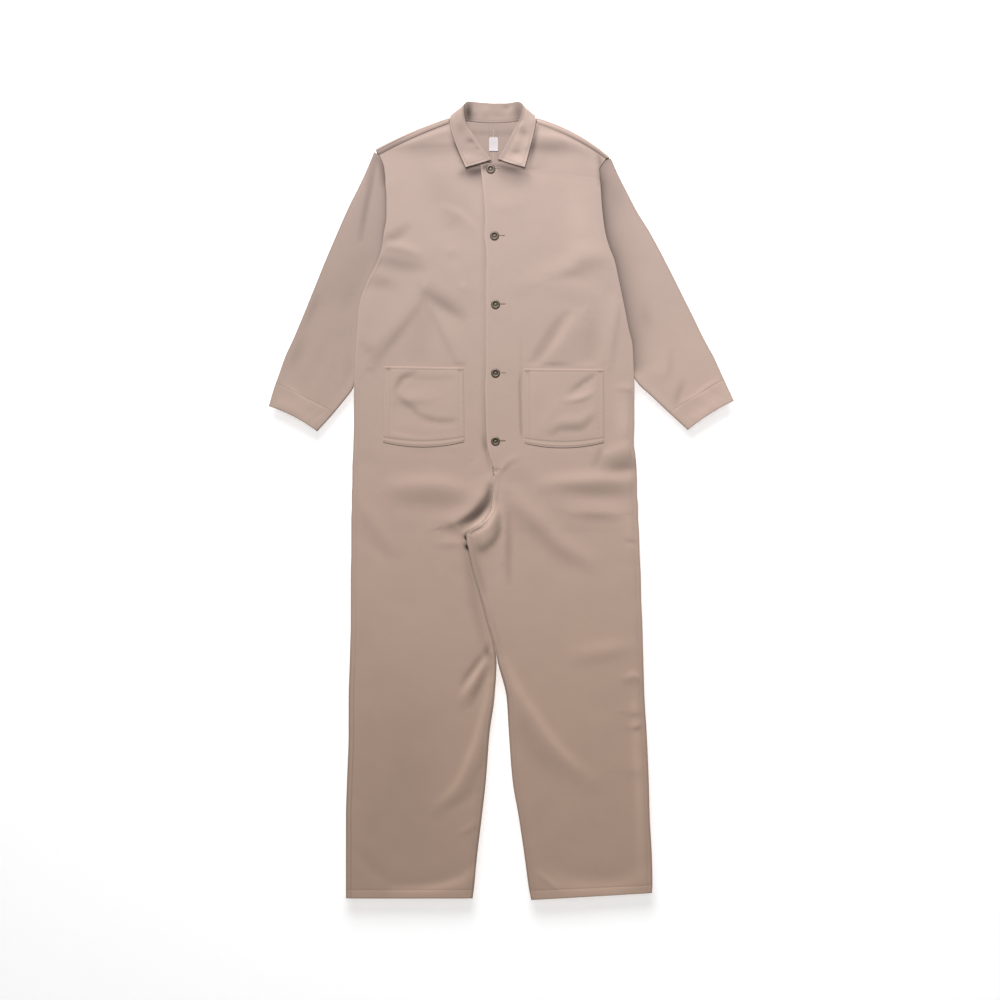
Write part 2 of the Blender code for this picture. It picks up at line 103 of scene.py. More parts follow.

# painted shade on the right front beside the button edge: y, then shade
PLACKET_SHADE = ((90, 104, 190, 290, 430, 545, 622, 642),
                 (0.0, 1.2, 1.0, 0.4, 0.5, 1.0, 1.4, 0.0))
# painted shade along the legs' inner seams: y, then shade
INNER_LEG_SHADE = {
    LEFT: ((-640, -430, -370, -300, -260), (1.6, 1.3, 2.8, 2.6, 0.3)),
    RIGHT: ((-640, -430, -370, -300, -260), (2.6, 2.4, 2.0, 3.0, 1.8)),
}
# painted light on the sleeves: y, then how much lighter they are painted, darker below 0
SLEEVE_TONE = {
    LEFT: ((180, 300, 480, 640), (0.45, 0.1, -0.1, -0.5)),
    RIGHT: ((180, 300, 420, 640), (-0.1, -0.55, -0.75, -0.75)),
}
# painted shadow of the body on the right sleeve: y, then shade
ARMHOLE_SHADE = ((420, 470, 520, 600, 660), (0.0, 1.2, 2.2, 2.6, 2.2))
# painted light runs from painted shade deep in a fold to a painted highlight, and multiplies the
# cloth's colour by this
TONE_RANGE = (-5.0, 3.0)
TONE_SHADE = (0.06, 1.5)

SEWN = {}                 # rows of stitching, noted while each piece is made

# ---- outlines: outer x, outer y, inner x, inner y ----
FRONT_LEFT = (
    (197, 642, 66, 709), (190, 632, 57, 691), (184, 621, 42, 668), (185, 610, 16, 647),
    (185, 604, -6, 635.5), (186, 598, -39, 629), (188, 568, -33, 565), (191, 534, -31, 531),
    (196, 501, -32, 497), (203, 476, -29, 471), (213, 450, -28, 446), (222, 409, -29, 407),
    (232, 361, -29, 362), (239, 325, -29, 324), (247, 289, -29, 288), (249, 249, -29, 249),
    (250, 213, -31, 213), (250, 179, -30, 179), (250, 143, -29, 143), (249, 108, -27, 108),
    (252, 85, -22, 83), (254, 61, -15, 61),
)
FRONT_RIGHT = (
    (-230, 649, -98, 709), (-226, 641, -90, 691), (-221, 628, -75, 668), (-219, 614, -50, 647),
    (-218, 605, -19, 633.5), (-218, 597, 4, 630), (-216, 568, 4, 566), (-216, 534, 4, 533),
    (-221, 501, 4, 499), (-226, 469, 4, 469), (-236, 442, 4, 444), (-254, 405, 4, 405),
    (-268, 362, 4, 362), (-271, 324, 4, 324), (-274, 288, 4, 288), (-276, 249, 4, 249),
    (-277, 213, 4, 213), (-277, 179, 4, 179), (-277, 143, 4, 143), (-278, 108, 4, 108),
    (-279, 83, 0, 83), (-280, 61, -16.5, 61),
)
# left side, right side, seam x, seam y, from the foot of the button edge down the rise
RISE = (
    (255, -280, -13, 34), (255, -281, -15, 12), (257, -281, -18, -14), (257, -282, -27, -31),
    (258, -282, -44, -48), (259, -282, -66, -64), (260, -282, -60, -99), (262, -283, -50, -140),
    (263, -283, -36, -187), (265, -283, -24, -231), (266, -284, -13, -272),
)
LEG_LEFT = (
    (267, -308, -7, -303), (269, -372, 10, -372), (273, -436, 14, -436), (277, -526, 21, -526),
    (279, -597, 33, -597), (283, -672, 44, -672), (284, -721, 52, -731), (283, -738, 56, -751),
)
LEG_RIGHT = (
    (-285, -308, -9, -303), (-287, -372, -13, -372), (-287, -436, -22, -436),
    (-290, -526, -29, -526), (-292, -597, -37, -597), (-292, -672, -46, -672),
    (-292, -725, -51, -725), (-292, -748, -54, -748),
)
ABOVE_RISE = len(FRONT_LEFT)
CROTCH = ABOVE_RISE + 5
# rung of the rise, counted from its top: height of the ridge along the seam
RISE_RIDGE = ((2, 3, 4, 5, 6, 7, 8, 9), (0.0, 0.6, 2.6, 4.0, 4.4, 3.4, 1.6, 0.0))

# start and end of each line across the shoulder, and how far it bows
SHOULDER = {
    LEFT: {"fold": ((65, 719), (203, 645), 9.0), "seam": ((66, 709), (197, 642), 6.0)},
    RIGHT: {"fold": ((-97, 719), (-236, 660), 3.5), "seam": ((-98, 709), (-230, 649), 3.0)},
}
BACK_NECK = {
    LEFT: ((CENTRE_BACK, 709.0), (9, 710), (28, 712), (48, 714.5)),
    RIGHT: ((CENTRE_BACK, 709.0), (-40, 710), (-62, 712), (-80, 714.5)),
}

SLEEVE_LEFT = {
    "outer": ((206, 643), (218, 615), (235, 581), (256, 541), (279, 504), (356, 354),
              (382, 301), (400, 268), (414, 237), (427, 209), (437, 187)),
    "under": ((254, 223.3), (283.5, 194.5), (317.5, 162.4), (350.4, 132.3)),
    "cuff_bow": 3.2,
}
SLEEVE_RIGHT = {
    "outer": ((-239, 655), (-246, 638), (-258, 610), (-270, 585), (-287, 551), (-322, 471),
              (-392, 301), (-405, 273), (-419, 234), (-428, 209), (-437, 177)),
    "under": ((-277.5, 213.5), (-297.8, 185), (-321, 157), (-346, 129.5)),
    "cuff_bow": 4.2,
}

# collar sections from the right front end round the back of the neck to the left one:
# neck seam, roll, middle of the fall and free edge, each x, y and height
COLLAR = (
    ((-19, 634, 4.2), (-19, 639, 8.6), (-42, 632, 9.4), (-67, 625, 10.4)),
    ((-50, 647, 4.2), (-41, 667, 11.5), (-61, 658, 11.0), (-79, 652, 10.0)),
    ((-75, 668, 4.2), (-55, 688, 13.5), (-73, 683, 12.0), (-89, 678, 9.2)),
    ((-90, 691, 4.2), (-66, 706, 14.0), (-81, 704, 12.0), (-96, 703, 8.2)),
    ((-98, 709, 4.2), (-70, 722, 14.0), (-85, 719, 10.5), (-97, 715, 7.0)),
    ((-92, 719.5, 3.6), (-71, 735, 12.2), (-83, 731, 7.0), (-94, 723.8, 1.8)),
    ((-80, 715, 2.9), (-68, 745, 8.4), (-77, 736, 1.0), (-87, 718, 0.8)),
    ((-62, 712.2, 2.9), (-60, 748.5, 7.4), (-62, 731, 0.8), (-64, 701, 0.8)),
    ((-40, 710, 2.9), (-39, 746.5, 7.0), (-40, 730, 0.8), (-40, 698, 0.8)),
    ((-15, 709, 2.9), (-14, 745.0, 6.8), (-15, 729, 0.8), (-15, 697, 0.8)),
    ((9, 710, 2.9), (10, 745.5, 7.0), (9, 730, 0.8), (9, 698, 0.8)),
    ((28, 712.2, 2.9), (30, 748, 7.4), (29, 731, 0.8), (31, 701, 0.8)),
    ((48, 715, 2.9), (38, 745, 8.4), (46, 736, 1.0), (56, 718, 0.8)),
    ((60, 719.5, 3.6), (40, 733, 12.2), (52, 729, 7.0), (63, 723.5, 1.8)),
    ((66, 709, 4.2), (36, 718, 14.0), (51, 715, 10.5), (65, 714, 7.0)),
    ((57, 691, 4.2), (29, 704, 14.0), (46, 703, 12.0), (63, 700, 8.2)),
    ((42, 668, 4.2), (20, 686, 13.5), (39, 682, 12.0), (58, 678, 9.2)),
    ((16, 647, 4.2), (9, 665, 11.5), (30, 657, 11.0), (51, 651, 10.0)),
    ((-6, 635.5, 4.2), (-6, 640, 8.6), (18, 632, 9.4), (44, 625, 10.4)),
)
FLAT_COLLAR_SECTIONS = range(6, 13)
ROLL_R = 1.05             # radius of the collar's fold

# centres of the buttons, and the keyhole cut round each one's shank
BUTTONS = ((-20, 622), (-13, 497), (-11, 368), (-11, 239), (-11, 111))
KEYHOLE_EYE = 3.0         # radius
KEYHOLE_REACH = 19.0      # from the shank to the end of the slit
KEYHOLE_SLIT = 0.9        # width

CLOTH_STEP = 1.2          # from the middle of one cloth to the middle of one laid on it
COLLAR_WALL = 1.5
COLLAR_STITCH = 5.0       # distance of the collar's topstitching from its edge
# dents and swells of the collar: x, y, radius in x and in y, height, and which part
COLLAR_DENTS = (
    (-76, 694, 9, 14, -0.7, "fall"), (-47, 682, 4.5, 6, 1.3, "fall"),
    (-56, 672, 9, 6, -1.1, "fall"), (-36, 654, 4, 4.5, 0.9, "fall"),
    (-42, 660, 6, 4, -0.8, "fall"), (-62, 640, 12, 9, 0.8, "fall"),
    (-62, 706, 5, 7, 0.8, "fall"), (36, 702, 6, 8, 0.9, "fall"),
    (44, 687, 9, 8, -1.0, "fall"), (30, 672, 6, 9, 0.8, "fall"),
    (28, 652, 9, 6, -1.0, "fall"), (48, 664, 7, 8, 0.7, "fall"),
    (34, 632, 12, 8, 0.7, "fall"),
    (-51, 729, 6, 7, 0.7, "stand"), (-30, 730, 8, 9, 0.8, "stand"),
    (10, 737, 8, 6, -0.7, "stand"), (19, 731, 5, 7, 0.6, "stand"),
    (-8, 722, 12, 6, -0.4, "stand"),
)

# top left, top right, bottom right and bottom left corner of each pocket
POCKET = {
    LEFT: ((42.6, 247.5), (191.9, 246.5), (192.8, 108.8), (43.5, 107.2)),
    RIGHT: ((-219.1, 252.0), (-71.3, 249.3), (-69.8, 110.0), (-222.0, 109.2)),
}
POCKET_SAG = 9.5          # how far a pocket's bottom edge bows down
POCKET_SEAM = 9.8         # inner of the two rows of stitching round a pocket
POCKET_EDGE_STITCH = 2.4  # outer row
POCKET_MOUTH_STITCH = 5.0 # row along the mouth
# x, y, length and turn of the bar tacks at the pockets' mouths
BAR_TACKS = ((-212.5, 246.6, 7.0, 1.2), (-77.5, 244.4, 7.0, 1.9),
             (48.5, 242.2, 7.0, 1.2), (185.5, 241.4, 7.0, 1.9))
BAR_TACK_WIDTH = 1.8
PLACKET_TACK = (-7.0, 60.0, 9.0, 2.2, 0.1)   # x, y, length, width, turn

LABEL_CENTRE = (-14.6, 669.3)
LABEL_SIZE = (17.3, 26.5)
LABEL_LOOPS = ((-18.2, 684.6), (-12.0, 684.4))

BUTTON_SEAT = FRONT_MID + CLOTH_STEP + 0.9   # height of a button's underside
BUTTON_BASE = 0.9         # thickness of the disc that its steps start from
SHANK_R = 2.2
SHANK_DEPTH = 1.6
# inset and lift of each step of a button's upper side, from its rim to the tack's end
BUTTON_STEPS = ((0.35, 0.45), (0.6, 0.4), (0.9, 0.25), (1.1, 0.0), (0.8, -0.3), (0.45, -0.5),
                (0.25, -0.7), (0.9, -0.15), (0.8, 0.0), (0.25, 0.5), (0.5, 0.25))

# ---- creases: path, width to the left of its travel and to the right, height and painted shade ----
# a shade below 0 paints a highlight, and a row of height 0 is only painted light or shade
CREASES_FRONT_RIGHT = {
    "shoulder_shelf": (
        ((-187, 668), (-164, 675), (-134, 685), (-97, 694), (-51, 702)),
        9, 15, 2.2, 0.3),
    "under_shoulder_hollow": (((-191, 659), (-134, 662), (-51, 666)), 11, 28, -1.5, 0.9),
    "collar_shade": (((-68, 615), (-44, 608), (-23, 606)), 17, 23, 0, 1.0),
    "collar_edge_shade": (((-95, 689), (-83, 662), (-66, 625)), 7, 8, 0, 1.7),
    "breast_streak": (((-108, 551), (-78, 538), (-48, 510)), 11, 13, 1.2, -0.3),
    "breast_swell": (((-100, 471), (-85, 467)), 13, 13, 0.9, 0),
    "breast_low_swell": (((-78, 403), (-65, 397)), 13, 13, 0.9, 0),
    "shoulder_to_chest_swell": (
        ((-183, 595), (-151, 538), (-119, 472), (-76, 405)),
        45, 38, 1.2, 0),
    "armhole_dent_upper": (((-228, 482), (-204, 491), (-179, 508)), 15, 15, -2.2, 0.8),
    "armhole_ridge": (((-232, 482), (-194, 476), (-157, 465)), 13, 15, 2.6, 0),
    "armhole_dent_lower": (((-234, 450), (-194, 442), (-153, 435)), 17, 21, -1.8, 0.9),
    "side_dent": (((-245, 409), (-206, 401)), 17, 19, -1.7, 0.6),
    "breast_dent": (((-100, 523), (-85, 504)), 23, 19, -0.9, 0.1),
    "breast_dent_low": (((-98, 456), (-81, 444)), 17, 17, -0.7, 0),
    "chest_v_side_arm": (((-145, 393), (-172, 354), (-206, 309), (-245, 254)), 13, 34, 3.0, 0.15),
    "chest_v_centre_arm": (((-145, 390), (-119, 343), (-97, 298), (-74, 252)), 28, 13, 2.8, 0),
    "chest_v_hollow": (((-147, 365), (-153, 311), (-160, 252)), 38, 38, -1.1, 0.25),
    "chest_v_apex_fold": (((-145, 410), (-115, 388), (-81, 367)), 21, 23, 1.6, 0.6),
    "chest_v_apex_gutter": (((-142, 388), (-108, 365), (-74, 345)), 13, 15, -1.2, 1.0),
    "side_low_dent": (((-254, 284), (-243, 271)), 15, 17, -1.4, 0.3),
    "side_edge_swell": (((-251, 377), (-262, 320), (-268, 279)), 15, 19, 1.0, 0),
    "under_pocket_dent": (((-266, 85), (-228, 57)), 30, 30, -0.8, 0),
    "waist_band": (((-206, 23), (-134, 29), (-59, 16)), 23, 28, 3.9, 0),
    "waist_gutter": (((-191, -5), (-134, -7), (-70, -13)), 21, 24, -1.6, 0.5),
    "hip_diagonal": (((-266, -5), (-239, -43), (-206, -90)), 23, 19, 1.8, 0),
    "hip_diagonal_gutter": (((-251, -75), (-221, -105)), 19, 19, -1.0, 0),
    "crotch_swell": (
        ((-23, 31), (-36, 6), (-53, -14), (-80, -35), (-108, -48)),
        11, 24, 4.0, -0.3),
    "crotch_gutter": (
        ((-21, 23), (-25, 2), (-34, -14), (-50, -31), (-74, -46)),
        11, 11, -4.0, 3.2),
    "crotch_flare": (((-115, -45), (-93, -54), (-72, -65)), 13, 15, -1.0, 0.8),
    "crotch_flare_ridge": (((-115, -80), (-74, -80)), 11, 11, 1.2, 0),
    # crotch_pinch and crotch_pinch_low are painted shadows only; no pinch is built
    "crotch_pinch": (((-69, -68), (-63, -73)), 6, 5, 0, 4.8),
    "crotch_pinch_low": (((-68, -83), (-62, -92)), 6, 6, 0, 4.8),
    "knee_gutter_upper": (((-29, -285), (-51, -313), (-74, -345)), 8, 8, -2.0, 1.3),
    "knee_ridge_upper": (((-23, -289), (-46, -330), (-74, -377)), 17, 11, 3.4, 0),
    "knee_gutter_lower": (((-27, -319), (-42, -353), (-57, -385)), 9, 11, -2.0, 1.1),
    "shin_ridge": (
        ((-16, -345), (-27, -398), (-40, -447), (-59, -496), (-76, -531), (-97, -556),
         (-119, -573)),
        24, 15, 3.4, 0),
    "calf_gutter": (((-51, -547), (-72, -565), (-98, -580)), 13, 15, -1.0, 0.2),
    "calf_tick": (((-50, -609), (-74, -625)), 9, 9, 1.2, 0),
    "leg_long_swell": (((-191, -187), (-183, -357), (-206, -526)), 75, 83, 1.6, 0),
    "shin_dark_side": (((-243, -357), (-254, -563), (-243, -657)), 41, 49, -1.4, 0),
    "hem_lift_line": (((-217, -714), (-175, -727), (-130, -721), (-63, -697)), 24, 17, -0.7, 0),
    "hem_side_fold": (((-281, -650), (-247, -688), (-206, -721)), 23, 17, -0.9, 0),
    "thigh_side_swell": (((-254, -112), (-258, -263)), 30, 26, 1.0, 0),
    "pocket_top_pull": (((-213, 264), (-198, 292)), 17, 17, 0.8, 0),
    "breast_shade": (((-145, 617), (-108, 572), (-70, 516)), 45, 45, 0, 0.45),
    "collar_shadow": (((-70, 616), (-44, 620), (-16, 628)), 11, 15, 0, 3.4),
    "inner_seam_shade": (((-66, -97), (-55, -169), (-40, -234), (-31, -274)), 9, 15, 0, 0.8),
    # painted shadow only; no pinch is built
    "inner_seam_pinch": (((-27, -272), (-25, -295)), 8, 8, 0, 1.8),
    "knee_light": (((-29, -300), (-50, -330), (-70, -359)), 8, 8, 0, -1.0),
    "shin_light": (
        ((-18, -304), (-25, -357), (-38, -406), (-50, -451), (-66, -492), (-80, -524),
         (-104, -558)),
        9, 10, 0, -0.6),
    "shin_shade": (((-27, -466), (-42, -501), (-61, -541)), 11, 11, 0, 0.4),
    "calf_shade": (((-187, -375), (-183, -545), (-183, -676)), 105, 105, 0, 0.4),
    "hem_light": (((-202, -731), (-134, -727), (-81, -714), (-51, -691)), 11, 17, 0, -1.5),
    # painted shade only, along the foot of the button edge
    "placket_foot_edge": (((-34, 121), (-30, 98), (-25, 80), (-21, 63)), 5, 6, 0, 1.2),
    "side_arm_shade": (((-247, 260), (-213, 294), (-183, 328)), 17, 17, 0, 0.6),
    # painted shade only, beside the gutter; no gutter is built here
    "crotch_gutter_low": (((-36, 2), (-50, -20), (-72, -39)), 15, 9, 0, 1.0),
    "crotch_light_edge": (((-25, -22), (-36, -37), (-53, -50)), 7, 7, 0, -1.8),
}
CREASES_FRONT_LEFT = {
    "shoulder_shelf": (((54, 687), (73, 685), (103, 681), (155, 664)), 9, 19, 3.0, 0),
    "under_shoulder_hollow": (((50, 660), (110, 660), (159, 647)), 15, 24, -1.4, 0.5),
    "collar_shade": (((-6, 610), (20, 602), (48, 597)), 11, 21, 0, 0.9),
    "collar_edge_shade": (((67, 711), (59, 666), (49, 627)), 8, 6, 0, 2.6),
    "collar_point_hollow": (((69, 659), (69, 617)), 26, 15, -1.0, 0),
    "shoulder_swell": (((101, 613), (138, 568), (167, 518)), 49, 45, 1.2, 0),
    "chest_shelf": (
        ((103, 431), (129, 440), (146, 454), (174, 461), (201, 459)),
        32, 24, 3.4, -0.2),
    "chest_shelf_faint": (((39, 405), (73, 414), (114, 431)), 26, 23, 1.9, 0),
    "chest_shelf_gutter": (((114, 407), (159, 427), (193, 433)), 17, 30, -1.1, 0.2),
    "chest_light_swell": (((88, 484), (133, 476), (178, 472)), 34, 26, 0.8, 0),
    "chest_low_patch": (((88, 397), (125, 401), (159, 395)), 19, 32, 2.2, 0),
    "side_dark_strip": (((197, 410), (210, 365)), 23, 19, -0.8, 0),
    "pocket_strip_gutter": (((118, 345), (93, 307), (60, 256)), 17, 13, -3.0, 0.4),
    "pocket_strip_ridge": (((146, 346), (116, 301), (82, 252)), 38, 17, 3.3, 0),
    "side_chest_hollow": (((170, 343), (170, 292), (155, 251)), 24, 28, -1.6, 0.25),
    "side_chest_ridge": (((217, 369), (210, 320), (201, 252)), 11, 21, 2.8, 0),
    "placket_swell_high": (((-18, 555), (-3, 553), (26, 553)), 23, 15, 0.9, 0),
    "side_short_line": (((216, 211), (253, 209)), 11, 8, 1.4, -0.2),
    "side_waist_swell": (((227, 189), (231, 143), (223, 113)), 23, 24, 1.4, 0),
    "side_wedge_ridge": (((185, 81), (216, 89), (248, 102)), 17, 26, 2.8, 0),
    "side_wedge": (((201, 57), (231, 61), (259, 72)), 21, 15, -2.2, 1.5),
    "pocket_corner_crease": (((191, 106), (185, 85), (176, 63)), 9, 11, -1.8, 0.7),
    "hip_band": (((84, 29), (133, 36), (185, 38), (253, 36)), 21, 21, 4.4, -0.2),
    "hip_band_gutter": (((129, 12), (185, 10), (238, 10)), 15, 19, -1.5, 0.6),
    "hip_band_low": (((133, -22), (178, -22), (223, -24)), 24, 13, 2.4, 0),
    "hip_band_low_gutter": (((170, -41), (223, -45)), 11, 17, -0.6, 0),
    "hip_drag": (((16, 12), (43, -14), (73, -41), (114, -82), (163, -114)), 24, 26, 3.2, 0),
    "hip_drag_gutter": (((20, -22), (61, -61), (110, -108), (148, -127)), 17, 24, -1.2, 0.3),
    "placket_foot_pucker": (((-4, 55), (13, 70), (28, 81)), 8, 8, 1.3, 0),
    "placket_foot_gutter": (((-1, 49), (11, 64), (20, 72)), 7, 8, -0.9, 0.5),
    "placket_foot_flare": (((11, 42), (1, 12)), 11, 11, 0.9, 0),
    "rise_ridge": (((1, 1), (5, -45), (3, -112)), 9, 11, 2.0, -0.4),
    "rise_gutter": (((14, -30), (14, -93), (14, -157)), 9, 9, -1.8, 0.7),
    "crotch_light": (((-10, -13), (-18, -33), (-29, -50), (-51, -63)), 9, 13, 1.0, -3.0),
    "crotch_shadow": (((-4, -35), (-6, -61), (-16, -80), (-33, -93)), 9, 13, -1.8, 2.0),
    "inner_thigh_swell": (((-6, -131), (1, -187), (13, -263)), 23, 23, 1.0, 0),
    "side_nick_hip": (((234, -77), (257, -84)), 8, 8, -1.2, 0.1),
    "leg_diagonal": (
        ((1, -315), (22, -353), (44, -387), (65, -417), (82, -445), (103, -471),
         (133, -498), (165, -526)),
        23, 30, 3.6, 0),
    "leg_diagonal_gutter": (((28, -417), (54, -466), (103, -522)), 23, 30, -1.2, 0.35),
    "knee_ridge": (((140, -291), (185, -285), (238, -276)), 24, 24, 2.6, 0),
    "side_nick_upper": (((234, -334), (249, -330), (263, -336)), 11, 9, 1.7, -0.3),
    "side_nick_second": (((238, -398), (263, -398)), 21, 9, 1.6, 0),
    "side_nick_third": (((242, -426), (263, -424)), 11, 8, 1.4, 0),
    "side_nick_shade": (((251, -434), (261, -426)), 6, 6, -0.6, 0.8),
    "side_nick_low": (((238, -507), (263, -503)), 30, 15, 1.2, 0),
    "side_strip": (((264, -460), (270, -582), (274, -695)), 8, 19, 1.1, 0),
    "leg_long_swell": (((167, -187), (185, -375), (193, -563)), 75, 83, 1.5, 0),
    "hem_lift_line": (((84, -661), (125, -706), (193, -714), (264, -689)), 24, 17, -0.7, -0.2),
    "hem_corner_tick": (((69, -699), (88, -716), (103, -729)), 8, 8, 1.2, 0),
    "shoulder_shade": (((54, 666), (84, 664), (114, 660)), 13, 17, 0, 1.0),
    "collar_shadow": (((-14, 630), (18, 622), (46, 613)), 11, 17, 0, 3.2),
    "collar_shadow_right_front": (((-38, 623), (-23, 629)), 9, 9, 0, 3.2),
    "armhole_head_shade": (((182, 655), (187, 625), (187, 595)), 7, 8, 0, 1.8),
    # painted highlight only; no swell is built here
    "chest_swell": (((137, 561), (152, 493)), 38, 38, 0, -0.5),
    "side_waist_light": (((227, 192), (231, 113)), 24, 26, 0, -0.6),
    "hip_light": (((193, -18), (234, -37), (249, -75)), 26, 23, 0, -0.5),
    "crotch_light_top": (((-16, 16), (-18, -14)), 4, 4, 0, -1.5),
    "crotch_shadow_low": (((-50, -78), (-38, -92), (-25, -84)), 17, 17, 0, 1.5),
    "placket_foot_shade": (((-19, 65), (-14, 58), (-5, 59)), 4, 4, 0, 1.3),
    "placket_foot_light": (((-23, 52), (-6, 52), (3, 63)), 4, 4, 0, -1.2),
    "leg_diagonal_light": (
        ((9, -300), (31, -353), (63, -400), (99, -453), (140, -498)),
        13, 11, 0, -0.45),
    "side_nick_upper_shade": (((223, -340), (259, -347)), 8, 11, 0, 0.4),
    "side_light": (((249, -366), (253, -460), (259, -563), (261, -699)), 15, 13, 0, -0.6),
    "hem_light": (((73, -706), (129, -727), (208, -729), (272, -706)), 23, 21, 0, -1.1),
    "inner_seam_shade": (((-57, -90), (-46, -124), (-34, -169)), 11, 11, 0, 1.0),
}
CREASES_SLEEVE_RIGHT = {
    "head_crease": (((-238, 640), (-247, 583), (-256, 538), (-264, 489)), 8, 9, -2.2, 1.0),
    "head_ridge": (((-254, 625), (-269, 574), (-279, 523)), 11, 17, 1.1, 0),
    "upper_swell": (((-281, 504), (-303, 448), (-330, 384)), 26, 26, 1.0, 0),
    "inner_patch": (((-281, 395), (-290, 354)), 17, 17, -1.1, 0.1),
    "elbow_swell": (((-322, 343), (-345, 292), (-367, 241)), 23, 26, 1.2, 0),
    "outer_patch_high": (((-348, 380), (-371, 331)), 17, 17, -0.9, 0.7),
    "outer_patch_low": (((-375, 298), (-395, 249)), 17, 17, -0.8, 0.6),
    "side_patch": (((-283, 271), (-288, 222)), 11, 15, -0.7, 0.3),
    "forearm_line": (((-315, 292), (-330, 241), (-345, 196)), 13, 17, 0.9, 0),
    "head_shade": (((-234, 647), (-224, 625), (-221, 595)), 8, 9, 0, 0.9),
    "hem_line_light": (((-410, 217), (-392, 207), (-373, 192)), 6, 6, 0.4, -0.5),
    "hem_low_light": (((-416, 181), (-388, 172), (-358, 155)), 11, 11, 0.3, -0.5),
}
CREASES_SLEEVE_LEFT = {
    "head_patch": (((219, 598), (223, 538)), 17, 17, -1.0, 0.3),
    "head_ridge": (((210, 617), (227, 572), (242, 523)), 15, 13, 0.7, 0),
    "upper_swell": (((261, 504), (289, 448), (313, 388)), 26, 26, 1.0, 0),
    "inner_patch": (((268, 354), (281, 320)), 17, 17, -1.1, 0.4),
    "bright_patch": (((287, 241), (302, 237), (311, 249)), 15, 13, 0.7, 0),
    "forearm_streak": (((319, 279), (319, 252), (317, 230)), 9, 9, -0.7, 0.4),
    "cuff_streak": (((343, 219), (336, 200), (328, 177)), 9, 11, -1.5, 0.7),
    "elbow_swell": (((321, 339), (343, 292), (368, 245)), 26, 23, 1.0, 0),
    "hem_line_light": (((342, 185), (364, 196), (385, 213), (407, 226)), 6, 6, 0.7, -0.6),
    "hem_corner_light": (((347, 151), (368, 162), (398, 177)), 9, 11, 0.4, -0.6),
}
CREASES_POCKET_RIGHT = {
    "mouth_crease": (((-164, 237), (-185, 228), (-200, 205)), 9, 9, -1.8, 1.1),
    "mouth_swell": (((-202, 187), (-168, 190), (-134, 190)), 19, 13, 1.6, 0),
    "belly_crease_side": (((-198, 196), (-181, 181), (-162, 170)), 9, 11, -1.2, 0.8),
    "belly_crease_middle": (((-172, 172), (-153, 158), (-132, 151)), 9, 11, -0.9, 0.6),
    "belly_crease_centre": (((-138, 151), (-110, 147), (-81, 149)), 9, 11, -1.3, 0.8),
    "lower_swell": (((-187, 140), (-134, 128), (-93, 132)), 17, 15, 0.7, 0),
    "mouth_shade": (((-187, 232), (-134, 230), (-85, 232)), 8, 9, 0, 0.5),
    "foot_light": (((-206, 125), (-144, 117), (-78, 123)), 8, 6, 0, -0.8),
    "corner_shade": (((-209, 204), (-206, 181)), 13, 13, 0, 0.3),
}
CREASES_POCKET_LEFT = {
    "mouth_crease": (((176, 234), (154, 219), (131, 202)), 9, 9, -1.8, 0.9),
    "mouth_ridge": (((170, 202), (148, 192), (125, 187)), 9, 11, 2.1, -0.5),
    "long_diagonal": (((110, 181), (88, 151), (73, 125)), 17, 17, 0.8, 0),
    "low_ridge": (((172, 166), (144, 149), (114, 147), (93, 134)), 15, 15, 1.8, 0),
    "low_crease": (((170, 151), (146, 132), (114, 132), (95, 123)), 9, 11, -0.9, 0.9),
    "inner_swell": (((65, 226), (61, 181)), 17, 17, 0.7, 0),
}


# ---- curves and cloth ----
def smoothstep(value):
    """Eased step from 0 to 1."""
    value = np.clip(value, 0.0, 1.0)
    return value * value * (3.0 - 2.0 * value)


def through(knots, rows, at):
    """Smooth curve through a table's rows, which never overshoots them."""
    knots, rows, at = (np.asarray(item, float) for item in (knots, rows, at))
    spans = np.diff(knots)[:, None]
    slopes = np.diff(rows, axis=0) / spans
    product = slopes[1:] * slopes[:-1]
    total = slopes[1:] + slopes[:-1]
    inner = np.where(product > 0, 2 * product / np.where(product > 0, total, 1.0), 0.0)
    tangents = np.vstack([slopes[:1], inner, slopes[-1:]])
    i = np.clip(np.searchsorted(knots, at, side="right") - 1, 0, len(knots) - 2)
    h = spans[i]
    u = ((at - knots[i])[:, None]) / h
    return ((1 + 2 * u) * (1 - u) ** 2 * rows[i] + u * (1 - u) ** 2 * h * tangents[i]
            + u * u * (3 - 2 * u) * rows[i + 1] + u * u * (u - 1) * h * tangents[i + 1])


def lengths(points):
    """Distance along a line of points to each of them."""
    steps = np.linalg.norm(np.diff(np.asarray(points, float), axis=0), axis=1)
    return np.concatenate([[0.0], np.cumsum(steps)])


def nearest(values, wanted):
    """Index of the value that is closest to the wanted one."""
    return int(np.argmin(np.abs(values - wanted)))


def spaced(length, step, first=EDGE_STEPS, last=EDGE_STEPS, kept=()):
    """Distances from 0 to length, close together at the ends, with the kept ones among them."""
    inner = np.linspace(first[-1], length - last[-1],
                        max(2, round((length - first[-1] - last[-1]) / step) + 1))
    places = np.concatenate([first, inner, length - np.array(last)])
    for spot in kept:
        places = places[np.abs(places - spot) > 0.3 * step]
        places = np.append(places, spot)
    return np.unique(np.round(places, 4))


def bow_along(points_a, points_b, shares, bow):
    """Rows of points from a to b, each row raised by its own bow at its middle."""
    a, b = points_a[:, None, :], points_b[:, None, :]
    across = points_b - points_a
    across /= np.linalg.norm(across, axis=1)[:, None]
    normal = np.stack([-across[:, 1], across[:, 0]], axis=1)
    normal[normal[:, 1] < 0] *= -1
    lift = bow[:, None] * 4.0 * shares * (1.0 - shares)
    return a + (b - a) * shares[:, :, None] + normal[:, None, :] * lift[:, :, None]


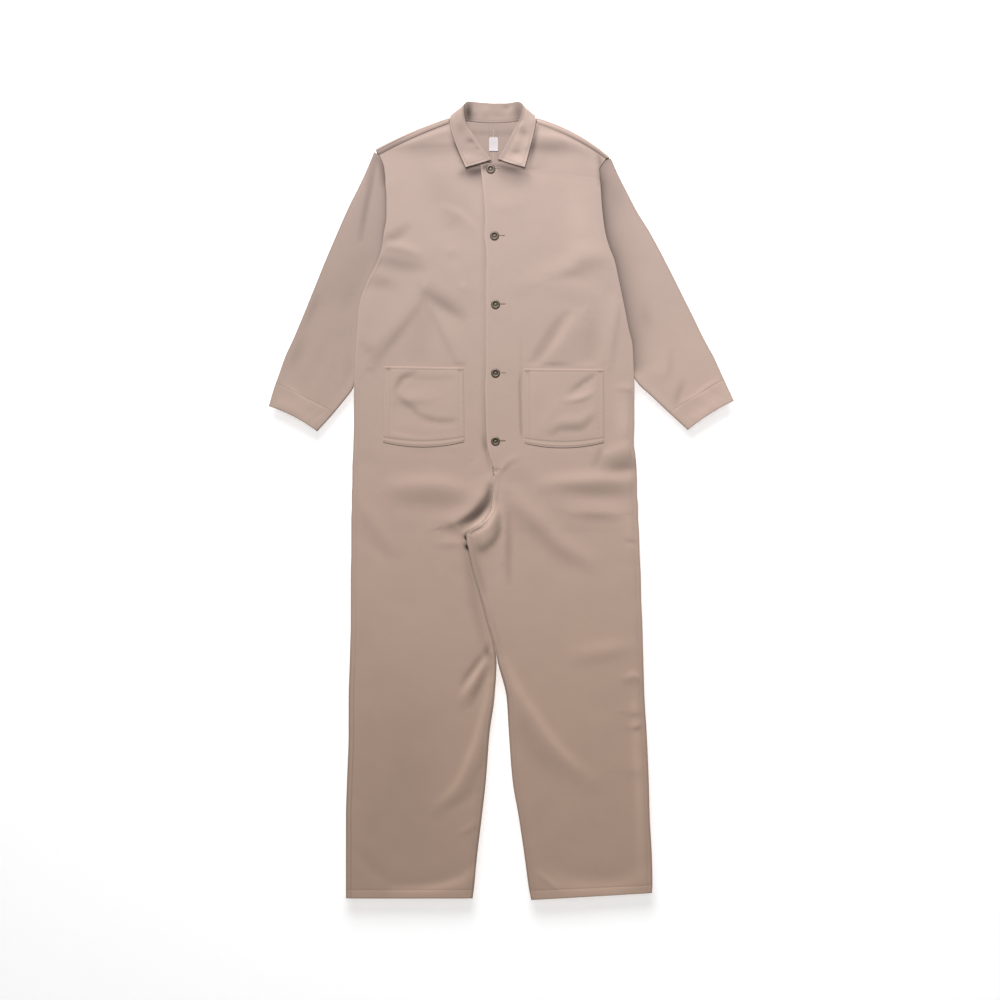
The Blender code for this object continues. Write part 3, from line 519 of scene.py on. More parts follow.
def crease_relief(x, y, creases):
    """Height of ridges and troughs laid along lines, and the shade painted down in them."""
    total, shaded = np.zeros_like(x), np.zeros_like(x)
    for path, left_width, right_width, height, shade in creases.values():
        path = np.array(path, float)
        knots = lengths(path)
        fine = through(knots, path, np.linspace(0, knots[-1], 4 * len(path)))
        walked = lengths(fine)
        best = np.full(x.shape, 1e9)
        share = np.zeros_like(x)
        side = np.zeros_like(x)
        for i, (a, b) in enumerate(zip(fine, fine[1:])):
            run = b - a
            span = run @ run
            along = ((x - a[0]) * run[0] + (y - a[1]) * run[1]) / span
            held = np.clip(along, 0, 1)
            dx, dy = x - a[0] - held * run[0], y - a[1] - held * run[1]
            far = np.hypot(dx, dy)
            near = far < best
            best = np.where(near, far, best)
            share = np.where(near, (walked[i] + held * math.sqrt(span)) / walked[-1], share)
            side = np.where(near, run[0] * dy - run[1] * dx, side)
        width = np.where(side > 0, left_width, right_width)
        ends = 0.35 + 0.65 * np.sin(np.pi * np.clip(share, 0.02, 0.98)) ** 0.7
        profile = ends * np.exp(-(best / (0.72 * width)) ** 2)
        total += height * profile
        shaded += shade * profile
    return total, shaded


def undulation(x, y, size, seed):
    """Soft unevenness from -1 to 1 whose swells are about size long in x and y."""
    lattice = np.random.default_rng(seed).uniform(-1, 1, (64, 64))
    u, v = x / size[0] + 31.3, y / size[1] + 17.7
    i, j = np.floor(u).astype(int), np.floor(v).astype(int)
    fu, fv = smoothstep(u - i), smoothstep(v - j)
    def at(di, dj):
        return lattice[(i + di) % 64, (j + dj) % 64]
    low = at(0, 0) * (1 - fu) + at(1, 0) * fu
    high = at(0, 1) * (1 - fu) + at(1, 1) * fu
    return low * (1 - fv) + high * fv


def drape(x, y, seed):
    """Height of the slight unevenness of cloth that has been folded and laid out."""
    return (0.55 * undulation(x + 0.25 * y, y, (95, 130), seed)
            + 0.34 * undulation(x - 0.4 * y, y + 0.2 * x, (46, 60), seed + 1)
            + 0.12 * undulation(x + 0.5 * y, y - 0.3 * x, (22, 27), seed + 2)
            + 0.04 * undulation(x, y, (9, 11), seed + 3))


def pucker(along, off, reach=7.0):
    """Small slanted ripples that stitching draws into the cloth, uneven along the seam."""
    s = along + 0.45 * off
    ripple = np.sin(2 * np.pi * (s / 9.3 + 0.4 * np.sin(s / 31.0)))
    strength = 0.55 + 0.45 * np.sin(s / 53.0 + 1.0)
    return ripple * strength * np.exp(-(off / reach) ** 2)


def groove(off, width=0.9):
    """Cross-section of the line that a row of stitching presses into the cloth."""
    return np.exp(-(off / width) ** 2)


def rim(distance, wall):
    """Share of the wall left near a folded edge, which is round."""
    reach = 0.75 * wall
    held = np.clip(distance / reach, 0.0, 1.0)
    return np.maximum(np.sqrt(1.0 - (1.0 - held) ** 2), 0.12)


def quads(grid):
    """Faces of a grid of numbers, or the corners of those faces for grids of values."""
    return np.stack([grid[:-1, :-1], grid[1:, :-1], grid[1:, 1:], grid[:-1, 1:]],
                    axis=2).reshape(-1, 4)


def numbering(grid):
    """Number of each point of a grid."""
    return np.arange(grid.shape[0] * grid.shape[1]).reshape(grid.shape[:2])


def vertex_normals(points, faces):
    """Normal at each point, from the four-sided faces round it."""
    corners = points[faces]
    cross = np.cross(corners[:, 2] - corners[:, 0], corners[:, 3] - corners[:, 1])
    normals = np.zeros_like(points)
    for k in range(4):
        np.add.at(normals, faces[:, k], cross)
    return normals / np.maximum(np.linalg.norm(normals, axis=1), 1e-12)[:, None]


def shell(name, points, faces, wall, across, along, tone):
    """Cloth with its wall on both sides of a middle surface, closed all round its edges.

    across and along are the cloth's own measures at each face corner, for its weave;
    tone is painted light: above 0 a painted highlight, below 0 painted shade in a fold or a
    painted shadow.
    """
    points = np.asarray(points, float)
    normals = vertex_normals(points, faces)
    half = (np.asarray(wall) / 2)[:, None]
    count = len(points)
    edges = np.stack([faces, np.roll(faces, -1, axis=1)], axis=2).reshape(-1, 2)
    code = edges[:, 0] * count + edges[:, 1]
    open_edges = edges[~np.isin(code, edges[:, 1] * count + edges[:, 0])]
    a, b = open_edges.T
    rims = np.stack([b, a, a + count, b + count], axis=1)
    corner_of = np.zeros((count, 2))
    corner_of[faces.ravel()] = np.stack([across.ravel(), along.ravel()], axis=1)
    uv = np.concatenate([
        np.stack([across, along], axis=2).reshape(-1, 2),
        np.stack([across[:, ::-1], along[:, ::-1]], axis=2).reshape(-1, 2),
        corner_of[rims.ravel() % count],
    ])
    mesh = bpy.data.meshes.new(name)
    vertices = np.concatenate([points + normals * half, points - normals * half]) * MM
    mesh.from_pydata(vertices.tolist(), [],
                     np.concatenate([faces, faces[:, ::-1] + count, rims]).tolist())
    mesh.uv_layers.new(name="cloth").uv.foreach_set("vector", (uv * MM).ravel())
    attribute = mesh.attributes.new("tone", "FLOAT", "POINT")
    attribute.data.foreach_set("value", np.concatenate([tone, tone]))
    mesh.shade_smooth()
    obj = bpy.data.objects.new(name, mesh)
    bpy.context.collection.objects.link(obj)
    return obj


def grid_measures(points):
    """Distances across and along a grid of points, at each of them."""
    across = np.zeros(points.shape[:2])
    across[:, 1:] = np.cumsum(np.linalg.norm(np.diff(points, axis=1), axis=2), axis=1)
    middle = points[:, points.shape[1] // 2]
    across -= across[:, points.shape[1] // 2][:, None]
    along = np.repeat(lengths(middle)[:, None], points.shape[1], axis=1)
    return across, along


def grid_shell(name, points, wall, tone):
    """Shell of one grid of points."""
    across, along = grid_measures(points)
    return shell(name, points.reshape(-1, 3), quads(numbering(points)), wall.ravel(),
                 quads(across), quads(along), tone.ravel())


def finish_piece(obj, slot, *nodes):
    """Lets a piece ride on the suit and stand for the solids it covers."""
    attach(obj, "root")
    if nodes:
        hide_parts(*nodes)


# ---- materials ----
def linear(code):
    """Linear colour of an sRGB hex value."""
    parts = [int(code[i:i + 2], 16) / 255 for i in (1, 3, 5)]
    return tuple(part / 12.92 if part <= 0.04045 else ((part + 0.055) / 1.055) ** 2.4
                 for part in parts)


def node(tree, kind, settings=None, **links):
    """Adds a shader node; a link is a socket or a value for the input of that name."""
    made = tree.nodes.new("ShaderNode" + kind)
    for key, value in (settings or {}).items():
        setattr(made, key, value)
    for key, value in links.items():
        socket = made.inputs[int(key[1:])] if key[0] == "i" and key[1:].isdigit() else (
            made.inputs[key.replace("_", " ")])
        if isinstance(value, bpy.types.NodeSocket):
            tree.links.new(value, socket)
        else:
            socket.default_value = value
    return made


def set_sockets(shader, **values):
    """Sets constants on a shader's own sockets."""
    for key, value in values.items():
        shader.inputs[key.replace("_", " ")].default_value = value


def new_material(name):
    """Material with a bare Principled shader: the material, its tree and its shader."""
    made = bpy.data.materials.new(name)
    made.use_nodes = True
    return made, made.node_tree, made.node_tree.nodes["Principled BSDF"]


def twill_material(name, chest_colour, full, rib_mm, depth_mm):
    """Brushed cotton twill: matt, with fine diagonal ribs and a short nap that
    scatters light at the folds. Uneven yarn shows as faint flecks. The colour is blended
    from the chest colour down to the hem colour, which paints how the light changes over the suit."""
    mat, tree, shader = new_material(name)
    cloth = node(tree, "UVMap", {"uv_map": "cloth"}).outputs["UV"]
    # a diagonal wave repeats every 0.4443 / scale
    ribs = node(tree, "TexWave",
                {"wave_type": "BANDS", "bands_direction": "DIAGONAL"},
                Vector=cloth, Scale=0.4443 / (rib_mm * MM), Distortion=0.6, Detail=1.0,
                Detail_Scale=1.5).outputs["Fac"]
    stretched = node(tree, "Mapping", Vector=cloth,
                     Scale=(1 / (0.9 * MM), 1 / (14 * MM), 1.0)).outputs["Vector"]
    yarn = node(tree, "TexNoise", Vector=stretched, Scale=1.0, Detail=2.0,
                Roughness=0.6).outputs["Fac"]
    fleck = node(tree, "TexNoise", Vector=cloth, Scale=1 / (1.6 * MM),
                 Detail=3.0, Roughness=0.7).outputs["Fac"]
    mottle = node(tree, "TexNoise", Vector=cloth, Scale=1 / (45 * MM),
                  Detail=3.0, Roughness=0.55).outputs["Fac"]
    tone = node(tree, "Attribute", {"attribute_name": "tone"}).outputs["Fac"]
    shade = 1.0
    for source, low, high in ((ribs, 0.965, 1.03), (yarn, 0.975, 1.025),
                              (fleck, 0.965, 1.035), (mottle, 0.97, 1.03)):
        part = node(tree, "MapRange", Value=source,
                    To_Min=low, To_Max=high).outputs["Result"]
        shade = part if shade == 1.0 else node(
            tree, "Math", {"operation": "MULTIPLY"}, i0=shade, i1=part).outputs[0]
    # painted light and shade: the tone attribute, mapped to a factor on the cloth's colour
    worn = node(tree, "MapRange", Value=tone, From_Min=TONE_RANGE[0],
                From_Max=TONE_RANGE[1], To_Min=TONE_SHADE[0],
                To_Max=TONE_SHADE[1]).outputs["Result"]
    shade = node(tree, "Math", {"operation": "MULTIPLY"}, i0=shade,
                 i1=worn).outputs[0]
    # painted light: the colour is blended by height from the hem colour up to the chest colour,
    # for how the light changes over the suit
    place = node(tree, "TexCoord").outputs["Object"]
    height = node(tree, "SeparateXYZ", Vector=place).outputs["Y"]
    fade = node(tree, "MapRange", {"interpolation_type": "SMOOTHSTEP"}, Value=height,
                From_Min=-0.65, From_Max=0.65).outputs["Result"]
    colour_with_painted_light = node(tree, "Mix", {"data_type": "RGBA"}, Factor=fade)
    colour_with_painted_light.inputs[6].default_value = (*full, 1.0)
    colour_with_painted_light.inputs[7].default_value = (*chest_colour, 1.0)
    coloured = node(tree, "VectorMath", {"operation": "SCALE"},
                    i0=colour_with_painted_light.outputs[2], Scale=shade).outputs["Vector"]
    tree.links.new(coloured, shader.inputs["Base Color"])
    rough = node(tree, "MapRange", Value=fleck, To_Min=0.84,
                 To_Max=0.94).outputs["Result"]
    tree.links.new(rough, shader.inputs["Roughness"])
    set_sockets(shader, IOR=1.54, Specular_IOR_Level=0.25, Sheen_Weight=0.12,
                Sheen_Roughness=0.55, Sheen_Tint=(1.0, 0.93, 0.87, 1.0))
    grain = node(tree, "Math", {"operation": "MULTIPLY_ADD"}, i0=fleck, i1=0.5,
                 i2=ribs).outputs[0]
    bump = node(tree, "Bump", Strength=0.7, Distance=depth_mm * MM,
                Height=grain).outputs["Normal"]
    tree.links.new(bump, shader.inputs["Normal"])
    return mat


def thread_material(name, colour):
    """Spun polyester-cotton thread: a little smoother and glossier than the cloth."""
    mat, tree, shader = new_material(name)
    place = node(tree, "TexCoord").outputs["Object"]
    twist = node(tree, "TexNoise", Vector=place, Scale=1 / (0.5 * MM),
                 Detail=2.0).outputs["Fac"]
    part = node(tree, "MapRange", Value=twist, To_Min=0.9,
                To_Max=1.1).outputs["Result"]
    coloured = node(tree, "VectorMath", {"operation": "SCALE"},
                    i0=tuple(colour), Scale=part).outputs["Vector"]
    tree.links.new(coloured, shader.inputs["Base Color"])
    set_sockets(shader, Roughness=0.62, Sheen_Weight=0.1, Sheen_Roughness=0.4)
    return mat


def brass_material(name, colour, worn_colour):
    """Antiqued brass: blackened, then rubbed back so the high spots shine through."""
    mat, tree, shader = new_material(name)
    place = node(tree, "TexCoord").outputs["Object"]
    patches = node(tree, "TexNoise", Vector=place, Scale=1 / (2.2 * MM),
                   Detail=4.0, Roughness=0.65).outputs["Fac"]
    high = node(tree, "NewGeometry").outputs["Pointiness"]
    rubbed = node(tree, "MapRange", Value=high, From_Min=0.49,
                  From_Max=0.58).outputs["Result"]
    mixed = node(tree, "Math", {"operation": "MULTIPLY_ADD", "use_clamp": True},
                 i0=patches, i1=0.45, i2=rubbed).outputs[0]
    blend = node(tree, "Mix", {"data_type": "RGBA"}, Factor=mixed)
    blend.inputs[6].default_value = (*colour, 1.0)
    blend.inputs[7].default_value = (*worn_colour, 1.0)
    tree.links.new(blend.outputs[2], shader.inputs["Base Color"])
    rough = node(tree, "MapRange", Value=patches, To_Min=0.45,
                 To_Max=0.62).outputs["Result"]
    tree.links.new(rough, shader.inputs["Roughness"])
    set_sockets(shader, Metallic=1.0)
    return mat


def tape_material(name, colour):
    """Woven taffeta tape: bright white, with a plain weave too fine to see from afar."""
    mat, tree, shader = new_material(name)
    cloth = node(tree, "UVMap", {"uv_map": "cloth"}).outputs["UV"]
    weave = []
    for direction in ("X", "Y"):
        # a straight wave repeats every 0.3142 / scale
        weave.append(node(tree, "TexWave",
                          {"wave_type": "BANDS", "bands_direction": direction},
                          Vector=cloth, Scale=0.3142 / (0.4 * MM)).outputs["Fac"])
    both = node(tree, "Math", {"operation": "MULTIPLY"}, i0=weave[0],
                i1=weave[1]).outputs[0]
    shade = node(tree, "MapRange", Value=both, To_Min=0.95,
                 To_Max=1.03).outputs["Result"]
    coloured = node(tree, "VectorMath", {"operation": "SCALE"},
                    i0=tuple(colour), Scale=shade).outputs["Vector"]
    tree.links.new(coloured, shader.inputs["Base Color"])
    set_sockets(shader, Roughness=0.55)
    bump = node(tree, "Bump", Strength=0.5, Distance=0.05 * MM,
                Height=both).outputs["Normal"]
    tree.links.new(bump, shader.inputs["Normal"])
    return mat


def board_material(name, colour):
    """White painted board that glows a little, as paper lit from below does."""
    mat, tree, shader = new_material(name)
    place = node(tree, "TexCoord").outputs["Object"]
    grain = node(tree, "TexNoise", Vector=place, Scale=3.0,
                 Detail=2.0).outputs["Fac"]
    part = node(tree, "MapRange", Value=grain, To_Min=0.995,
                To_Max=1.005).outputs["Result"]
    coloured = node(tree, "VectorMath", {"operation": "SCALE"},
                    i0=tuple(colour), Scale=part).outputs["Vector"]
    tree.links.new(coloured, shader.inputs["Base Color"])
    set_sockets(shader, Roughness=0.9, Specular_IOR_Level=0.0, Emission_Color=(1, 1, 1, 1),
                Emission_Strength=GLOW)
    return mat


def frosted_material(name, colour):
    """Frosted clear sheet under the suit: it lets most of a shadow through to the board."""
    mat = board_material(name, colour)
    mat.node_tree.nodes["Principled BSDF"].inputs["Alpha"].default_value = FROSTING
    return mat


def shared(maker, name, *values):
    """The material of this name, made the first time it is asked for."""
    return bpy.data.materials.get(name) or maker(name, *values)


# ---- fronts ----
def front_rungs(side):
    """Rungs of a front from the shoulder to the hem, inside its sewn edges."""
    upper, leg = (FRONT_LEFT, LEG_LEFT) if side > 0 else (FRONT_RIGHT, LEG_RIGHT)
    shift = SEAM / 2 * side
    rungs = [(ox, oy, ix + (SEAM * side if i < NECK_RUNGS else 0),
              iy - (SEAM if i < NECK_RUNGS else 0)) for i, (ox, oy, ix, iy) in enumerate(upper)]
    rungs += [(left if side > 0 else right, y, x + shift, y - shift)
              for left, right, x, y in RISE]
    return np.array(rungs + [tuple(rung) for rung in leg], float)


def rung_knots(rungs):
    """Distance from the first rung to each one, halfway between the two edges."""
    return (lengths(rungs[:, :2]) + lengths(rungs[:, 2:])) / 2


def front_plan(side, step):
    """Points of a front seen from above, with each one's distances from the edges."""
    rungs = front_rungs(side)
    knots = rung_knots(rungs)
    total = knots[-1]
    hem_steps = EDGE_STEPS + (8.5, 11.0, 13.4, 15.0, 16.0, 17.0, 18.6)
    at = spaced(total, step, EDGE_STEPS, hem_steps,
                [knots[i] for i in (NECK_RUNGS, ABOVE_RISE - 1, CROTCH)])
    fine = through(knots, rungs, at)
    row = np.interp(at, knots, np.arange(len(knots)))
    outer, inner = fine[:, :2], fine[:, 2:]
    width = np.linalg.norm(outer - inner, axis=1)
    near = EDGE_STEPS + BAND_STEPS
    if side > 0:
        near += FACING_STEPS
    far = EDGE_STEPS + BAND_STEPS
    middle = round((FRONT_WIDTH - near[-1] - far[-1]) / step)
    shares = np.arange(1, middle) / middle
    gap = width - near[-1] - far[-1]
    places = np.concatenate([
        np.repeat([near], len(at), axis=0),
        near[-1] + gap[:, None] * shares,
        width[:, None] - np.array(far[::-1]),
    ], axis=1)
    bow = SHOULDER[side]["seam"][2] * np.maximum(0.0, 1.0 - row / 4.0)
    plan = bow_along(inner, outer, places / width[:, None], bow)
    if side < 0:
        plan, places = plan[:, ::-1], places[:, ::-1]
    return {"xy": plan, "row": row[:, None] + 0 * places, "inner": places,
            "outer": width[:, None] - places, "top": at[:, None] + 0 * places,
            "bottom": total - at[:, None] + 0 * places}


def pocket_mask(side, x, y):
    """1 where a front lies flat under its pocket."""
    x0, x1 = (42, 192) if side > 0 else (-220, -70)
    inside = np.minimum.reduce([x - x0, x1 - x, y - 100, 251 - y])
    return smoothstep((inside + 10.0) / 10.0)


def front_middle(side, plan, folds):
    """Height of the middle of a front's wall, and the light and shade painted on its cloth."""
    x, y = plan["xy"][..., 0], plan["xy"][..., 1]
    row, inner, outer = plan["row"], plan["inner"], plan["outer"]
    below_sleeve = np.clip(row - SLEEVE_RUNGS, 0, 1)
    on_leg = np.clip(row - (CROTCH - 1), 0, 1)
    on_placket = np.clip(ABOVE_RISE - row, 0, 1)
    drop = FRONT_MID - EDGE_MID
    z = FRONT_MID - drop * (1 - smoothstep(outer / 19.0)) * below_sleeve
    z -= drop * (1 - smoothstep(inner / 17.0)) * on_leg
    z += np.interp(row - ABOVE_RISE, *RISE_RIDGE) * (1 - smoothstep(inner / 17.0))

    if side > 0:
        z += LAP * (1 - smoothstep((inner - 42.0) / 45.0)) * on_placket
        clear = np.where(on_placket > 0.5, smoothstep(inner / 10.0), smoothstep(inner / 5.0))
        seed = 11
    else:
        covered = 34.0 * (1 - smoothstep((y - 622.0) / 20.0))
        clear = np.where(on_placket > 0.5, smoothstep((inner - covered) / 12.0),
                         smoothstep(inner / 5.0))
        seed = 47
    clear = clear * smoothstep((outer - 1.0) / 9.0) * (1 - pocket_mask(side, x, y))
    clear *= smoothstep(plan["top"] / 8.0)
    relief, shade = crease_relief(x, y, CREASES_FRONT_LEFT if side > 0 else CREASES_FRONT_RIGHT)
    z += folds * clear * (relief + 1.1 * drape(x, y, seed))
    # painted shade in the creases, deeper in their hollows, kept off the pocket and the top edge,
    # and a little darker from y 60 up
    seen = smoothstep(plan["top"] / 6.0) * (1 - pocket_mask(side, x, y))
    tone = -seen * (shade + 0.12 * np.clip(-relief, 0, 3)) - 0.2 * smoothstep((y - 60) / 160)
    z -= 0.5 * (1 - smoothstep(plan["top"] / 3.0))
    # painted shade along the top edge, where the front goes under the shoulder and the collar
    tone -= 1.6 * groove(plan["top"] - 0.8, 2.0)

    low = smoothstep((-210.0 - y) / 160.0)
    # strength of the painted shade in the side seam's stitched line, more on the right front and
    # towards the hems
    side_line = 0.3 + (1.3 if side < 0 else 0.2) * low
    # stitched bands: distance to the line, where the band lies, length along it, depth of its line
    # and strength of the painted shade in that line
    bands = [(outer, below_sleeve, y, 0.14, side_line), (inner, on_leg, y + 400, 0.14, 0.4),
             (plan["bottom"] - (HEM - STITCHED_BAND), np.ones_like(x), x, 0.3, 0.8)]
    for off, where, along, depth, dark in bands:
        line = off - STITCHED_BAND
        z += where * (0.2 * (1 - smoothstep((line + 1.2) / 1.6)) - depth * groove(line))
        z += where * 0.13 * pucker(along, line)
        tone -= where * dark * groove(line, 0.8)
    # painted shade along the outer edge below the sleeve, more towards the hems
    tone -= (0.8 + 0.9 * low) * below_sleeve * np.exp(-(outer / 3.0) ** 2)
    # painted shade along the inner leg seams
    tone -= np.interp(y, *INNER_LEG_SHADE[side]) * on_leg * np.exp(-(inner / 3.6) ** 2)
    # painted shade at the hem's foot, and a painted highlight over the turned hem
    tone -= 0.7 * np.exp(-(plan["bottom"] / 2.4) ** 2)
    tone += 0.45 * smoothstep((HEM - plan["bottom"]) / 1.5) * smoothstep(plan["bottom"] / 3.0)
    roll = np.clip((row - 7.5) / 2.5, 0, 1) * np.clip((SLEEVE_RUNGS + 0.5 - row) / 1.5, 0, 1)
    z += 0.55 * roll * np.exp(-((outer - 2.4) / 2.4) ** 2)
    # painted highlight along the right front's rolled armhole edge
    tone += (0.0 if side > 0 else 0.35) * roll * groove(outer - 1.2, 1.6)
    if side < 0:
        # painted shade on the right front beside the left front's button edge
        tone -= on_placket * np.interp(y, *PLACKET_SHADE) * np.exp(
            -((inner - PLACKET_COVER) / 7.0) ** 2)
    else:
        facing = smoothstep((308 - y) / 20) * smoothstep((y - 112) / 20) * (y > 90)
        z -= 0.3 * facing * groove(inner - FACING)
        z += 0.12 * facing * pucker(y, inner - FACING)
        # painted shade in the facing's stitched line, more from the pockets' mouths down
        tone -= facing * (0.3 + 1.2 * smoothstep((250 - y) / 30)) * groove(inner - FACING, 2.2)
        # painted highlight along the left front's button edge
        tone += 0.3 * on_placket * groove(inner - 1.5, 2.4)
        on_rise = np.clip(row - ABOVE_RISE, 0, 1) * np.clip(CROTCH + 0.3 - row, 0, 1)
        # painted shade in the rise's stitched lines
        for line in RISE_STITCHES:
            z -= 0.3 * on_rise * groove(inner - line)
            tone -= 0.7 * on_rise * groove(inner - line, 0.8)
        z += on_rise * (0.45 * (1 - smoothstep((inner - 7.0) / 2.0)) + 0.2 * pucker(y, inner - 5))
    for bx, by in BUTTONS:
        z -= 0.35 * np.exp(-(((x - bx) / 9.0) ** 2 + ((y - by) / 9.0) ** 2))
    edge = np.minimum(np.minimum(inner, outer), plan["bottom"])
    floor = np.where(edge > 6, 2.0, EDGE_MID - 0.15)
    return np.maximum(z, floor), tone


def make_front(name, side, cloth):
    """Front from the shoulder to the hem, with its seams, hem and creases."""
    plan = front_plan(side, 3.3)
    z, tone = front_middle(side, plan, cloth.fold_strength)
    points = np.concatenate([plan["xy"], z[..., None]], axis=2)
    edge = np.minimum.reduce([plan["inner"], plan["outer"], plan["top"], plan["bottom"]])
    full = cloth.wall / MM

    def column(key, off):
        return nearest(plan[key][0], off)

    row, y = plan["row"][:, 0], plan["xy"][:, points.shape[1] // 2, 1]
    sew(name, points[row > SLEEVE_RUNGS + 0.2][:, column("outer", STITCHED_BAND)], full)
    sew(name, points[row > CROTCH + 0.1][:, column("inner", STITCHED_BAND)], full)
    sew(name, points[nearest(plan["bottom"][:, 0], HEM), 3:-3], full)
    if side > 0:
        on_rise = (row > ABOVE_RISE) & (row < CROTCH)
        for off in RISE_STITCHES:
            sew(name, points[on_rise][:, column("inner", off)], full)
        sew(name, points[(y < 301) & (y > 118)][:, column("inner", FACING)], full)
    return grid_shell(name, points, full * rim(edge, full), tone)


def cut_buttonholes(obj, eye, reach, slit):
    """Cuts a keyhole through the cloth round each button's shank."""
    bpy.ops.object.select_all(action="DESELECT")
    cutter_mesh = bpy.data.meshes.new("keyholes")
    bm = bmesh.new()
    start = math.asin(slit / 2 / eye)
    for x, y in BUTTONS:
        turns = np.linspace(start, 2 * math.pi - start, 15)
        ring = [(x + eye * math.cos(a), y + eye * math.sin(a)) for a in turns]
        ring += [(x + reach, y - slit / 2), (x + reach + 0.5, y), (x + reach, y + slit / 2)]
        face = bm.faces.new([bm.verts.new((px * MM, py * MM, 3.6 * MM)) for px, py in ring])
        lifted = bmesh.ops.extrude_face_region(bm, geom=[face])["geom"]
        bmesh.ops.translate(bm, vec=(0, 0, 5 * MM),
                            verts=[v for v in lifted if isinstance(v, bmesh.types.BMVert)])
    bmesh.ops.recalc_face_normals(bm, faces=bm.faces)
    bm.to_mesh(cutter_mesh)
    bm.free()
    cutter = bpy.data.objects.new("keyholes", cutter_mesh)
    bpy.context.collection.objects.link(cutter)
    cut = obj.modifiers.new("keyholes", "BOOLEAN")
    cut.operation, cut.solver, cut.object = "DIFFERENCE", "EXACT", cutter
    bpy.context.view_layer.objects.active = obj
    bpy.ops.object.modifier_apply(modifier=cut.name)
    bpy.data.objects.remove(cutter, do_unlink=True)


# ---- backs ----
def shoulder_line(ends, shares):
    """Points along a bowed line across the shoulder."""
    start, end, bow = ends
    start, end = np.array([start], float), np.array([end], float)
    return bow_along(start, end, np.array([shares]), np.array([bow]))[0]


def shoulder_lip(name, side, wall, start, fold, base, radius, shares):
    """Strip that rolls over the fold of the shoulder to the forward seam, with its
    distances from that seam and the light and shade painted on it."""
    seam = shoulder_line(SHOULDER[side]["seam"], shares)
    lip = [start]
    for turn in np.radians(np.arange(20, 181, 20)):
        lip.append(np.stack([fold[:, 0],
                             fold[:, 1] - wall / 2 - radius + radius * math.sin(turn),
                             base + radius - radius * math.cos(turn)], axis=1))
    rolled, crest = len(lip), lip[-1]
    reach = np.column_stack([seam[:, 0], seam[:, 1] + 2 * SEAM, np.full(len(seam), FRONT_MID)])
    for share in (0.12, 0.26, 0.4, 0.55, 0.68, 0.78, 0.86, 0.92, 0.965, 1.0):
        lip.append(crest + (reach - crest) * share)
    lip = np.array(lip)
    from_seam = np.linalg.norm(lip[:, :, :2] - reach[None, :, :2], axis=2)
    on_top = np.arange(len(lip))[:, None] >= rolled
    lip[..., 2] += np.where(on_top, 0.9 * (1 - smoothstep((from_seam - 5.0) / 8.0)), 0)
    for off in SHOULDER_STITCHES:
        lip[..., 2] -= np.where(on_top, 0.34 * groove(from_seam - off), 0)
    lip[..., 2] += np.where(on_top, 0.14 * pucker(lip[..., 0], from_seam - 4.5), 0)
    # painted shade in the two stitched lines, and painted light along the lip
    near_row, far_row = (groove(from_seam - off, 1.3) for off in SHOULDER_STITCHES)
    light = np.interp(lip[..., 0] * side, *LIP_TONE[side])
    tone = np.where(on_top, -2.6 * near_row - 2.2 * far_row + light, 0.0)

    for off in SHOULDER_STITCHES:
        line = [lip[rolled:, j][nearest(from_seam[rolled:, j], off)]
                for j in range(lip.shape[1])]
        sew(name, line, wall)
    return lip, from_seam, tone


